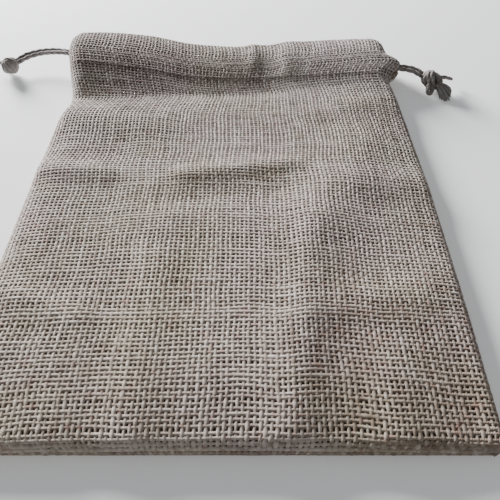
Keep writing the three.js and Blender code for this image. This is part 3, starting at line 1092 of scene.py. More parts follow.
@dataclass(frozen=True)
class TwistedFibres:
    """The effect that yarns, cords and thread share: fibres twisted round a strand, with fine fuzz."""

    lay: float = 0.42
    ridges: int = 3
    streak_length: float = 0.5
    streaks_round: float = 9.0
    streak_scale: float = 1.6
    streak_detail: float = 3.0
    fuzz_scale: float = 2600.0
    ridge_height: float = 0.22
    fuzz_height: float = 0.5
    streak_tone: float = 0.7
    fuzz_tone: float = 0.3

    def group(self) -> bpy.types.NodeTree:
        """Builds the node group.

        Returns:
            A group that takes a grain map and gives a height and a tone.
        """
        tree = bpy.data.node_groups.new("twisted_fibres", "ShaderNodeTree")
        for name, way, kind in (
            ("Grain", "INPUT", "NodeSocketVector"),
            ("Object", "INPUT", "NodeSocketVector"),
            ("Height", "OUTPUT", "NodeSocketFloat"),
            ("Tone", "OUTPUT", "NodeSocketFloat"),
        ):
            tree.interface.new_socket(name=name, in_out=way, socket_type=kind)
        board = Board(tree)
        given = board.add("NodeGroupInput")
        result = board.add("NodeGroupOutput")
        run, girth, _ = board.split(given.outputs["Grain"])
        turned = board.maths("FRACT", board.maths("MULTIPLY_ADD", run, self.lay, girth))
        ridge = board.maths("SINE", board.maths("MULTIPLY", turned, 2 * math.pi * self.ridges))
        lined = board.add("ShaderNodeCombineXYZ")
        board.join(board.maths("MULTIPLY", run, self.streak_length), lined.inputs[0])
        board.join(board.maths("MULTIPLY", turned, self.streaks_round), lined.inputs[1])
        streaks = board.noise(lined.outputs[0], self.streak_scale, self.streak_detail)
        fuzz = board.noise(given.outputs["Object"], self.fuzz_scale)
        rough = board.maths("ADD", streaks, board.maths("MULTIPLY", fuzz, self.fuzz_height))
        height = board.maths("MULTIPLY_ADD", ridge, self.ridge_height, rough)
        fine = board.maths("MULTIPLY", fuzz, self.fuzz_tone)
        tone = board.maths("MULTIPLY_ADD", streaks, self.streak_tone, fine)
        board.join(height, result.inputs["Height"])
        board.join(tone, result.inputs["Tone"])
        return tree


@dataclass(frozen=True)
class FibreFinish:
    """Bast fibre spun into yarn, cord or thread: its colours from shaded to bleached, and its hairiness."""

    name: str
    dark: Colour
    middle: Colour
    light: Colour
    stops: tuple[float, float, float] = (0.22, 0.5, 0.8)
    tone_share: float = 0.5
    tint_share: float = 0.62
    dust: float = 0.3
    dust_scale: float = 38.0
    fleck: Colour = (0.30, 0.15, 0.11)
    flecks: float = 0.35
    fleck_scale: float = 260.0
    fleck_above: float = 0.67
    roughness: float = 0.95
    smoother: float = -0.12
    relief: float = 0.00022
    relief_share: float = 0.8
    sheen: float = 0.12
    sheen_roughness: float = 0.6
    specular: float = 0.3
    # painted light: a cooler, greyer cast towards the mouth
    mouth_light_cast: Colour = (0.94, 0.97, 1.07)
    rosy: Colour = (1.02, 0.98, 1.04)
    straw: Colour = (1.00, 1.005, 0.96)
    patch_scale: Colour = (24.0, 30.0, 30.0)
    patch_range: tuple[float, float] = (0.38, 0.62)

    def material(self, fibres: bpy.types.NodeTree) -> bpy.types.Material:
        """Builds the finish.

        Args:
            fibres: the shared twisted fibre group.

        Returns:
            The material.
        """
        made, board, shader, place = new_material(self.name)
        grain = board.add("ShaderNodeUVMap", uv_map="grain").outputs[0]
        tint = board.add("ShaderNodeAttribute", attribute_name="tint").outputs["Fac"]
        group = board.add("ShaderNodeGroup", node_tree=fibres)
        board.join(grain, group.inputs["Grain"])
        board.join(place, group.inputs["Object"])
        dusty = board.maths("SUBTRACT", board.noise(place, self.dust_scale, 3.0), 0.5)
        paleness = board.maths("MULTIPLY", tint, self.tint_share)
        tone = board.maths("MULTIPLY_ADD", group.outputs["Tone"], self.tone_share, paleness)
        tone = board.maths("ADD", tone, board.maths("MULTIPLY", dusty, self.dust))
        colour = board.ramp(tone, list(zip(self.stops, (self.dark, self.middle, self.light))))
        spots = board.maths("GREATER_THAN", board.noise(place, self.fleck_scale, 1.0), self.fleck_above)
        colour = board.mix(board.maths("MULTIPLY", spots, self.flecks), colour, self.fleck)
        board.join(self._light_cast_and_patches(board, place, colour), shader.inputs["Base Color"])
        rough = board.maths("MULTIPLY_ADD", group.outputs["Tone"], self.smoother, self.roughness)
        board.join(rough, shader.inputs["Roughness"])
        shader.inputs["Sheen Weight"].default_value = self.sheen
        shader.inputs["Sheen Roughness"].default_value = self.sheen_roughness
        shader.inputs["Specular IOR Level"].default_value = self.specular
        normal = board.bump(group.outputs["Height"], self.relief_share, self.relief)
        board.join(normal, shader.inputs["Normal"])
        return made

    def _light_cast_and_patches(
        self, board: Board, place: bpy.types.NodeSocket, colour: bpy.types.NodeSocket
    ) -> bpy.types.NodeSocket:
        """Paints light on the fibre that is a little cooler and greyer towards the mouth, and makes it rosy
        here and straw-coloured there.

        Args:
            board: the material being wired.
            place: the object coordinates.
            colour: the fibre's own colour.

        Returns:
            The colour, with the painted light and the patches.
        """
        run = board.split(place)[1]
        to_mouth = board.maths("MULTIPLY_ADD", run, 1 / (SIZES.length * MM), 0.5)
        # painted light: cooler and greyer towards the mouth
        mouth_lit = board.times(to_mouth, colour, self.mouth_light_cast)
        patches = board.noise(board.scaled(place, self.patch_scale), 1.0, 3.0)
        rosiness = board.add("ShaderNodeMapRange")
        board.join(patches, rosiness.inputs["Value"])
        rosiness.inputs["From Min"].default_value = self.patch_range[0]
        rosiness.inputs["From Max"].default_value = self.patch_range[1]
        return board.times(1.0, mouth_lit, board.mix(rosiness.outputs[0], self.straw, self.rosy))


@dataclass(frozen=True)
class GroundFinish:
    """The cloth under its yarns: dark painted shade where it is seen through the holes, woven where it is
    seen bare.
    """

    name: str
    dark: Colour
    light: Colour
    weave: float
    stops: tuple[float, float] = (0.3, 0.72)
    two_yarns: float = 2.1
    weave_share: float = 0.22
    spot_scale: float = 420.0
    spot_share: float = 0.5
    roughness: float = 0.88
    rougher: float = 0.1
    specular: float = 0.15
    relief: float = 0.0001
    weave_relief: float = 0.0004
    relief_share: float = 0.9

    def material(self) -> bpy.types.Material:
        """Builds the finish.

        Returns:
            The material.
        """
        made, board, shader, place = new_material(self.name)
        cloth = board.add("ShaderNodeUVMap", uv_map="cloth").outputs[0]
        across, along, _ = board.split(cloth)
        turn = 2 * math.pi / self.two_yarns
        warp = board.maths("SINE", board.maths("MULTIPLY", across, turn))
        weft = board.maths("SINE", board.maths("MULTIPLY", along, turn))
        crossed = board.maths("ADD", warp, weft)
        weave = board.maths("MULTIPLY_ADD", crossed, self.weave_share * self.weave, 0.5)
        spots = board.noise(place, self.spot_scale, 3.0)
        woven = board.maths("MULTIPLY", weave, 1 - self.spot_share)
        value = board.maths("MULTIPLY_ADD", spots, self.spot_share, woven)
        colour = board.ramp(value, list(zip(self.stops, (self.dark, self.light))))
        board.join(colour, shader.inputs["Base Color"])
        rough = board.maths("MULTIPLY_ADD", spots, self.rougher, self.roughness)
        board.join(rough, shader.inputs["Roughness"])
        shader.inputs["Specular IOR Level"].default_value = self.specular
        normal = board.bump(value, self.relief_share, self.weave_relief * self.weave + self.relief)
        board.join(normal, shader.inputs["Normal"])
        return made


@dataclass(frozen=True)
class FloorFinish:
    """A plain pale floor that glows a little, as a lit backdrop does."""

    colour: Colour = (0.88, 0.88, 0.87)
    shaded: float = 0.985
    stops: tuple[float, float] = (0.3, 0.7)
    cloud_scale: float = 3.0
    roughness: float = 0.9
    specular: float = 0.2
    glow: float = 0.18

    def material(self) -> bpy.types.Material:
        """Builds the finish.

        Returns:
            The material.
        """
        made, board, shader, place = new_material("pale_floor")
        low = tuple(self.shaded * part for part in self.colour)
        clouds = board.noise(place, self.cloud_scale)
        colour = board.ramp(clouds, list(zip(self.stops, (low, self.colour))))
        board.join(colour, shader.inputs["Base Color"])
        shader.inputs["Roughness"].default_value = self.roughness
        shader.inputs["Specular IOR Level"].default_value = self.specular
        shader.inputs["Emission Color"].default_value = (1, 1, 1, 1)
        shader.inputs["Emission Strength"].default_value = self.glow
        return made


class Finishes:
    """Every material of the pouch, made once."""

    def __init__(self) -> None:
        """Builds the shared fibre group and the materials that use it."""
        fibres = TwistedFibres().group()
        self.yarn = FibreFinish(
            "hessian_yarn",
            dark=(0.135, 0.087, 0.054),
            middle=(0.275, 0.220, 0.167),
            light=(0.51, 0.445, 0.370),
        ).material(fibres)
        self.twine = FibreFinish(
            "jute_twine",
            dark=(0.078, 0.061, 0.046),
            middle=(0.190, 0.162, 0.134),
            light=(0.355, 0.325, 0.285),
            flecks=0.15,
        ).material(fibres)
        self.thread = FibreFinish(
            "sewing_thread",
            dark=(0.15, 0.11, 0.08),
            middle=(0.28, 0.235, 0.19),
            light=(0.42, 0.37, 0.32),
            flecks=0.0,
        ).material(fibres)
        self.hair = FibreFinish(
            "loose_fibre",
            dark=(0.30, 0.25, 0.19),
            middle=(0.50, 0.45, 0.38),
            light=(0.68, 0.65, 0.58),
            flecks=0.0,
        ).material(fibres)
        # the ground under the yarns is a dark sheet of painted shade, seen through the holes
        self.ground = GroundFinish(
            "cloth_ground", dark=(0.035, 0.025, 0.018), light=(0.085, 0.062, 0.045), weave=0.0
        ).material()
        self.inside = GroundFinish(
            "cloth_inside", dark=(0.16, 0.125, 0.09), light=(0.42, 0.37, 0.30), weave=1.0
        ).material()


# ---- Cloth ----
@dataclass(frozen=True)
class Drift:
    """How far one direction's yarns stray from even spacing: with their neighbours, and each alone."""

    wide: float
    wide_waves: tuple[float, float]
    narrow: float = 0.10
    narrow_waves: tuple[float, float] = (14, 34)
    own: float = 0.08
    own_swing: float = 0.06
    own_waves: tuple[float, float] = (9, 40)

    def together(self, rng: np.random.Generator, x: Array, y: Array) -> Array:
        """How far neighbouring yarns stray together.

        Args:
            rng: the seeded source of chance.
            x: millimetres across the cloth, wefts by warps.
            y: millimetres along the cloth.

        Returns:
            The distances, wefts by warps.
        """
        wide = self.wide * waves(rng, x, y, *self.wide_waves)
        return wide + self.narrow * waves(rng, x, y, *self.narrow_waves)

    def alone(self, rng: np.random.Generator, yarns: int, stations: Array) -> Array:
        """How far each yarn strays by itself.

        Args:
            rng: the seeded source of chance.
            yarns: how many yarns.
            stations: millimetres along a yarn.

        Returns:
            The distances, yarns by stations.
        """
        own = self.own * rng.standard_normal(yarns)[:, None]
        return own + self.own_swing * wobble(rng, yarns, stations, *self.own_waves)


@dataclass(frozen=True)
class YarnSet:
    """How one direction's yarns are: their width, waviness, wider crowns, paler crowns and darker dips
    (partly rubbed fibre, partly painted light and shade), paleness and drift.
    """

    width: float
    swing: float
    bead: float
    # paler where a yarn lies over, darker where it dips under: partly rubbed fibre, partly painted light and
    # shade
    over_rub_and_painted_light: float
    paleness: float
    drift: Drift


@dataclass(frozen=True)
class Spinning:
    """How unevenly a yarn is spun and coloured. Waves and slubs are measured in crossings along it."""

    own_size: float = 0.10
    size_swing: float = 0.09
    size_waves: tuple[float, float] = (4, 22)
    slubs: float = 0.35
    slub_swell: tuple[float, float] = (0.2, 0.5)
    slub_length: tuple[float, float] = (1.2, 3.2)
    size_limits: tuple[float, float] = (0.68, 1.5)
    own_tint: float = 0.06
    tint_swing: float = 0.08
    tint_waves: tuple[float, float] = (3, 30)
    tint_speck: float = 0.10

    def thickness(self, rng: np.random.Generator, yarns: int, at: Array) -> Array:
        """Each yarn's thickness along its length, with a slub here and there.

        Args:
            rng: the seeded source of chance.
            yarns: how many yarns.
            at: crossings along a yarn.

        Returns:
            Shares of the usual thickness, yarns by rings.
        """
        own = 1 + self.own_size * rng.standard_normal((yarns, 1))
        size = own + self.size_swing * wobble(rng, yarns, at, *self.size_waves)
        for _ in range(int(yarns * self.slubs)):
            yarn, middle = rng.integers(yarns), rng.uniform(0, at[-1])
            swell = rng.uniform(*self.slub_swell)
            size[yarn] += swell * np.exp(-(((at - middle) / rng.uniform(*self.slub_length)) ** 2))
        return np.clip(size, *self.size_limits)

    def tint(self, rng: np.random.Generator, yarns: int, at: Array) -> Array:
        """How much paler or darker than its set each yarn is along its length.

        Args:
            rng: the seeded source of chance.
            yarns: how many yarns.
            at: crossings along a yarn.

        Returns:
            What to add to the paleness, yarns by rings.
        """
        own = self.own_tint * rng.standard_normal((yarns, 1))
        tint = own + self.tint_swing * wobble(rng, yarns, at, *self.tint_waves)
        return tint + self.tint_speck * rng.standard_normal((yarns, len(at)))


@dataclass(frozen=True)
class PaintedLightAndShade:
    """Painted light and shade: where the cloth's yarns are made paler or darker. Places are shares of its
    width and millimetres of its length.

    Each pair is where a change begins and over how far it grows.
    """

    # painted shade along the rolled seams at the sides and the bottom
    seam_painted_shade: float = 0.15
    seam_reach: float = 2.0
    # painted light on the roll of the bottom edge, just above the seam
    edge_painted_light: float = 0.28
    edge_light_grows: float = 1.5
    edge_light_ends: tuple[float, float] = (6, 3)
    edge_light_left: float = 0.12
    edge_light_right: float = 0.5
    right: tuple[float, float] = (0.3, 0.5)
    # painted shade on the casing, away from its right end
    casing_painted_shade: float = 0.16
    casing_shade_starts: tuple[float, float] = (222, 12)
    # painted shade over the lower right of the panel, from the fold there
    corner: tuple[float, float] = (0.58, 0.2)
    corner_ends: tuple[float, float] = (40, 60)
    # painted light on the casing's right end and the cloth just below it
    casing_end_painted_light: float = 0.16
    casing_end_light_starts: tuple[float, float] = (202, 10)

    def tint(self, u: Array, c: Array, width: float) -> Array:
        """Paints shade on the seams, the lower right and the casing's left, and paints light on two places.

        The painted light is on the bottom edge and the casing's right end.

        Args:
            u: shares of the width.
            c: millimetres along the cloth.
            width: the panel's width in millimetres.

        Returns:
            What to add to the yarns' paleness.
        """

        def past(place: Array, change: tuple[float, float]) -> Array:
            """How far past the start of a change a place is, from 0 to 1."""
            return smooth((place - change[0]) / change[1])

        seam = 1 - smooth(np.minimum(np.minimum(u, 1 - u) * width, c) / self.seam_reach)
        edge = past(c, (self.seam_reach, self.edge_light_grows)) * (1 - past(c, self.edge_light_ends))
        edge = edge * smooth(u / self.edge_light_left) * smooth((1 - u) / self.edge_light_right)
        right = past(u, self.right)
        dark = past(c, self.casing_shade_starts) * (1 - right)
        dark = dark + past(u, self.corner) * (1 - past(c, self.corner_ends))
        pale = past(c, self.casing_end_light_starts) * right
        # painted light on the bottom edge and the casing's right end, less painted shade on the seams, the
        # casing's left and the lower right
        return self.edge_painted_light * edge + self.casing_end_painted_light * pale - self.seam_painted_shade * seam - self.casing_painted_shade * dark


@dataclass
class Panel:
    """One panel of hessian: a thin ground sheet with its yarns woven over it.

    The ground lies in the middle of the cloth; where the yarns cover it, it is dark, as painted shade in the
    holes. Each yarn passes over and under the yarns that cross it.
    The section is the angles of a yarn's flat, rounded profile.
    """

    face: Face
    seed: int
    warps: int = 101
    pitch: float = 1.97
    warp: YarnSet = YarnSet(
        width=1.40, swing=0.07, bead=0.11, over_rub_and_painted_light=0.17, paleness=0.52, drift=Drift(0.50, (60, 160))
    )
    weft: YarnSet = YarnSet(
        width=1.38, swing=0.00, bead=0.05, over_rub_and_painted_light=0.00, paleness=0.51, drift=Drift(0.45, (50, 140))
    )
    spinning: Spinning = Spinning()
    light_and_shade: PaintedLightAndShade = PaintedLightAndShade()
    # painted light and shade, added to the yarns' paleness
    yarn_height: float = 0.55
    tallest: float = 1.12
    float_reach: float = 0.22
    thinning: float = 0.22
    usual_at: float = 0.4
    section: tuple[float, ...] = (-28, 36, 90, 144, 208)
    steady_sides: float = 8.0
    steady_ends: float = 10.0
    hem_shown: float = 12.0
    hem_lap: float = 3.0
    ground_top: float = 0.20
    ground_thick: float = 0.34
    flat: tuple[float, float] = (0.200, 0.305)
    yarn_seed_on: int = 5

    def __post_init__(self) -> None:
        """Unrolls the panel's cloth."""
        self.name = "front_panel" if self.face is Face.FRONT else "back_panel"
        self.label = "front" if self.face is Face.FRONT else "back"
        self.form = PanelForm(self.face)
        self.grid = ClothGrid(self.form)

    def build(self, finishes: Finishes) -> bpy.types.Object:
        """Builds and dresses the panel's ground and yarns.

        Args:
            finishes: the pouch's materials.

        Returns:
            The ground sheet.
        """
        ground = self._ground(finishes)
        yarns = self._yarns(finishes)
        for piece in (ground, *yarns):
            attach(piece, "root")
        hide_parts(self.name)
        return ground

    def _ground(self, finishes: Finishes) -> bpy.types.Object:
        """Makes the thin closed sheet in the middle of the cloth, hem and all.

        Args:
            finishes: the pouch's materials.

        Returns:
            The sheet.
        """
        form = PanelForm(self.face, rolls=5, middles=44, body_rows=52, casing_rows=16)
        face = form.outer_face()
        along, across = np.gradient(face, axis=0), np.gradient(face, axis=1)
        normals = unit(np.cross(across, along) * self.face.value)
        middle = SIZES.cloth / 2
        outer = face - normals * (middle + self.ground_top)
        inner = face - normals * (middle + self.ground_top + self.ground_thick)
        rows, columns, _ = face.shape
        half = rows * columns
        index = np.arange(half).reshape(rows, columns)
        a, b, c, d = index[:-1, :-1], index[:-1, 1:], index[1:, 1:], index[1:, :-1]
        top = np.stack([a, b, c, d], axis=-1).reshape(-1, 4)
        rim = np.concatenate([index[0, :], index[1:, -1], index[-1, -2::-1], index[-2:0:-1, 0]])
        rest = np.roll(rim, -1)
        edge = np.stack([rim, rim + half, rest + half, rest], axis=-1)
        quads = np.concatenate([top, top[:, ::-1] + half, edge])
        if self.face is Face.BACK:
            quads = quads[:, ::-1]
        points = np.concatenate([outer.reshape(-1, 3), inner.reshape(-1, 3)])
        mesh = mesh_of(f"{self.label}_ground", points, quads.ravel(), np.arange(len(quads)) * 4)
        far, wide = grid_distances(face, axis=0), grid_distances(face, axis=1)
        cloth = np.tile(np.stack([wide.ravel(), far.ravel()], axis=-1), (2, 1))
        add_map(mesh, "cloth", cloth[quads.ravel()])
        mesh.materials.append(finishes.ground)
        mesh.materials.append(finishes.inside)
        # outer faces that the yarns cover take the dark painted shade; all others take the bare woven finish
        covered = far[:-1, :-1].ravel() < self.grid.edge + self.hem_shown - self.hem_lap
        slots = np.ones(len(quads), np.int32)
        slots[: len(top)][covered] = 0
        mesh.polygons.foreach_set("material_index", slots)
        return new_object(f"{self.label}_ground", mesh)

    def _crossings(self) -> tuple[Array, Array, int]:
        """Where warps and wefts cross, unevenly, as woven jute is.

        Returns:
            Shares of the width and millimetres of the length, wefts by warps, and the number of wefts.
        """
        rng = np.random.default_rng(self.seed)
        end = self.grid.edge + self.hem_shown
        wefts = int(end / self.pitch)
        j, i = np.meshgrid(np.arange(wefts), np.arange(self.warps), indexing="ij")
        width = self.flat[0] / MM
        x, y = (i + 0.5) * self.pitch, (j + 0.5) * end / wefts
        drift = self.warp.drift
        sway = drift.together(rng, x, y) + drift.alone(rng, self.warps, y[:, 0]).T
        inside = smooth(np.minimum(x, width - x) / self.steady_sides)
        share = ((i + 0.5) + sway * inside / self.pitch) / self.warps
        drift = self.weft.drift
        dip = drift.together(rng, x, y) + drift.alone(rng, wefts, x[0])
        cloth = y + dip * smooth(y / self.steady_ends) * smooth((end - y) / self.steady_ends)
        return share, cloth, wefts

    def _yarns(self, finishes: Finishes) -> list[bpy.types.Object]:
        """Weaves the yarns: each way of the front in two pieces, each way of the back in one.
        Weaves the yarns, in pieces of a size that a mesh tool takes well.

        Args:
            finishes: the pouch's materials.

        Returns:
            The warps and then the wefts.
        """
        share, cloth, wefts = self._crossings()
        end = self.grid.edge + self.hem_shown
        width = self.flat[0] / MM
        rng = np.random.default_rng(self.seed + self.yarn_seed_on)
        over = np.where((np.arange(wefts)[:, None] + np.arange(self.warps)[None, :]) % 2 == 0, 1.0, -1.0)
        pieces = []
        halves = 2 if self.face is Face.FRONT else 1
        reach = self.float_reach * self.pitch
        for way in Way:
            if way is Way.WARP:
                u, c, lift = share.T, cloth.T, over.T
                du, dc = 0.0, reach
            else:
                u, c, lift = share, cloth, -over
                du, dc = reach / width, 0.0
            if self.face is Face.FRONT:
                u = np.stack([u - du, u + du], axis=-1).reshape(len(u), -1)
                c = np.stack([c - dc, c + dc], axis=-1).reshape(len(c), -1)
                lift = np.repeat(lift, 2, axis=1)
            first, last = (u[:, :1], u[:, -1:]) if way is Way.WARP else (0 * u[:, :1], 0 * u[:, -1:] + 1)
            near, far = (0 * c[:, :1], 0 * c[:, -1:] + end) if way is Way.WARP else (c[:, :1], c[:, -1:])
            u = np.concatenate([first, u, last], axis=1)
            c = np.concatenate([near, c, far], axis=1)
            lift = np.concatenate([0 * first, lift, 0 * last], axis=1)
            count, rings = u.shape
            at = np.arange(rings) * (0.5 if self.face is Face.FRONT else 1.0)
            sizes = self.spinning.thickness(rng, count, at)
            kind = self.warp if way is Way.WARP else self.weft
            # tops paler and dips darker, partly rubbed fibre and partly painted light and shade
            tint = self.spinning.tint(rng, count, at) + kind.paleness + kind.over_rub_and_painted_light * lift
            # adds the painted light and shade to the yarns' paleness
            tint = np.clip(tint + self.light_and_shade.tint(u, c, width), 0, 1)
            cuts = np.linspace(0, count, halves + 1).astype(int)
            for part in range(halves):
                rows = slice(cuts[part], cuts[part + 1])
                name = f"{self.label}_{way.value}s" + (f"_{'ab'[part]}" if halves > 1 else "")
                piece = self._strands(name, way, u[rows], c[rows], lift[rows], sizes[rows], tint[rows])
                piece.data.materials.append(finishes.yarn)
                pieces.append(piece)
        return pieces

    def _strands(
        self, name: str, way: Way, u: Array, c: Array, lift: Array, size: Array, tint: Array
    ) -> bpy.types.Object:
        """Sweeps one set of yarns through the cloth.

        Args:
            name: the piece's name.
            way: which way the yarns run.
            u: shares of the width at each ring.
            c: millimetres along the cloth at each ring.
            lift: 1 where a yarn is on the outer face, -1 where it is under.
            size: thickness of each ring, as a share of the usual.
            tint: paleness of each ring.

        Returns:
            The joined piece.
        """
        points, normals, across, along = self.grid.at(u, c)
        forward = along if way is Way.WARP else across
        beside = unit(np.cross(normals, forward))
        kind = self.warp if way is Way.WARP else self.weft
        centres = points + normals * (kind.swing * lift - SIZES.cloth / 2)[..., None]
        width = kind.width * size * (1 + kind.bead * lift)
        width = width * (1 + self.thinning * (self.usual_at - smooth(c / SIZES.length)))
        height = self.yarn_height * np.minimum(size, self.tallest)
        return TubeBundle(
            centres=centres,
            across=beside,
            up=normals,
            half_width=width / 2,
            half_height=height / 2,
            sides=len(self.section),
            corners=self.section,
            tint=tint,
        ).build(name)


@dataclass
class StrayFibres:
    """Fine fibres that have worked loose from the front panel's yarns."""

    count: int = 900
    thick: float = 0.07
    taper: float = 0.7
    rings: int = 6
    sides_clear: float = 0.01
    bottom_clear: float = 2.0
    past_edge: float = 4.0
    length: tuple[float, float] = (2.5, 8.0)
    bend: tuple[float, float] = (-1.8, 1.8)
    rise: tuple[float, float] = (0.15, 0.9)
    root: float = 0.02
    arch: float = 0.75
    paleness: tuple[float, float] = (0.3, 0.8)
    seed: int = 31

    def build(self, panel: Panel, finishes: Finishes) -> bpy.types.Object:
        """Strews the fibres over the panel.

        Args:
            panel: the panel that they grow from.
            finishes: the pouch's materials.

        Returns:
            The joined piece.
        """
        rng = np.random.default_rng(self.seed)
        places = (self.sides_clear, 1 - self.sides_clear), (self.bottom_clear, panel.grid.edge)
        share, cloth, turn, length, bend, rise = (
            rng.uniform(low, high, self.count)[:, None]
            for low, high in (*places, (0, 2 * math.pi), self.length, self.bend, self.rise)
        )
        t = np.linspace(0, 1, self.rings)[None, :]
        heading = turn + bend * t
        dx = np.cumsum(np.cos(heading), axis=1) * length / self.rings
        dy = np.cumsum(np.sin(heading), axis=1) * length / self.rings
        width = panel.flat[0] / MM
        u = np.clip(share + dx / width, 0, 1)
        c = np.clip(cloth + dy, 0, panel.grid.edge + self.past_edge)
        points, normals, _, _ = panel.grid.at(u, c)
        height = self.root + rise * np.sin(math.pi * self.arch * t)
        lifted = points + normals * height[..., None]
        forward = unit(np.gradient(lifted, axis=1))
        beside = unit(np.cross(normals, forward))
        taper = self.thick / 2 * (1 - self.taper * t) + 0 * u
        piece = TubeBundle(
            centres=lifted,
            across=beside,
            up=np.cross(forward, beside),
            half_width=taper,
            half_height=taper,
            sides=3,
            tint=np.repeat(rng.uniform(*self.paleness, (self.count, 1)), self.rings, axis=1),
        ).build("stray_fibres")
        piece.data.materials.append(finishes.hair)
        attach(piece, "root")
        return piece


# ---- Cords and knots ----
NO_TURN = 1e9  # a lay so long that the plies run straight


@dataclass
class Twine:
    """A cord laid from two plies that turn round each other."""

    diameter: float = SIZES.cord
    lay: float = 9.0
    apart: float = 0.11
    ply: float = 0.39
    sides: int = 8
    tone: float = 0.5
    tone_swing: float = 0.12
    tone_waves: tuple[float, float] = (4, 20)
    tone_apart: float = 0.06

    def plies(self, line: Array, swell: Array | None = None) -> TubeBundle:
        """Lays the plies along a line.

        Args:
            line: the cord's centreline, evenly stepped.
            swell: share of the usual thickness at each point.

        Returns:
            The two plies.
        """
        across, up = frames_along(line)
        far = distances(line)
        swell = np.ones(len(line)) if swell is None else swell
        off, radius = self.apart * self.diameter, self.ply * self.diameter
        rng = np.random.default_rng(len(line))
        centres, tint = [], []
        for ply in (0, math.pi):
            turn = 2 * math.pi * far / self.lay + ply
            side = across * np.cos(turn)[:, None] + up * np.sin(turn)[:, None]
            centres.append(line + side * (off * swell)[:, None])
            tone = self.tone + self.tone_swing * wobble(rng, 1, far, *self.tone_waves)[0]
            tint.append(np.clip(tone + rng.uniform(-self.tone_apart, self.tone_apart), 0, 1))
        size = np.tile(radius * swell, (2, 1))
        return TubeBundle(
            centres=np.stack(centres),
            across=np.stack([across, across]),
            up=np.stack([up, up]),
            half_width=size,
            half_height=size,
            sides=self.sides,
            tint=np.stack(tint),
        )


@dataclass
class FrayedEnd:
    """The opened end of a strand: loose fibres that fan out of the knot and droop to the surface."""

    root: tuple[float, float, float]
    tips: tuple[tuple[float, float, float], ...]
    fibres: int = 34
    rings: int = 12
    thick: float = 1.7
    sizes: tuple[float, float] = (0.7, 1.1)
    taper: float = 0.5
    arch: float = 1.2
    lowest: float = 0.5
    shortest: float = 0.86
    root_spread: float = 0.55
    tip_spread: float = 0.3
    paleness: tuple[float, float] = (0.25, 0.75)
    seed: int = 7

    def build(self, name: str) -> bpy.types.Object:
        """Fans the fibres out from the root to the line of the tips.

        Args:
            name: the piece's name.

        Returns:
            The joined fibres.
        """
        rng = np.random.default_rng(self.seed)
        tips = np.array(self.tips, float)
        share = np.linspace(0, len(tips) - 1, self.fibres)
        tip = np.column_stack([np.interp(share, np.arange(len(tips)), tips[:, k]) for k in range(3)])
        root = np.array(self.root) + rng.normal(0, self.root_spread, (self.fibres, 3))
        t = np.linspace(0, 1, self.rings)[None, :, None]
        reach = rng.uniform(self.shortest, 1.0, (self.fibres, 1, 1))
        line = root[:, None] + (tip - root)[:, None] * t * reach
        line = line + rng.normal(0, self.tip_spread, (self.fibres, 1, 3)) * t**2
        t = t[..., 0]
        line[..., 1] -= SIZES.length / 2
        line[..., 2] = np.maximum(line[..., 2] + self.arch * np.sin(math.pi * t), self.lowest)
        forward = unit(np.gradient(line, axis=1))
        across = unit(np.cross(np.array([0.0, 0.0, 1.0]), forward))
        thin = self.thick / 2 * rng.uniform(*self.sizes, (self.fibres, 1)) * (1 - self.taper * t**3)
        return TubeBundle(
            centres=line,
            across=across,
            up=np.cross(forward, across),
            half_width=thin,
            half_height=thin,
            tint=rng.uniform(*self.paleness, (self.fibres, 1)) + 0 * t,
        ).build(name)


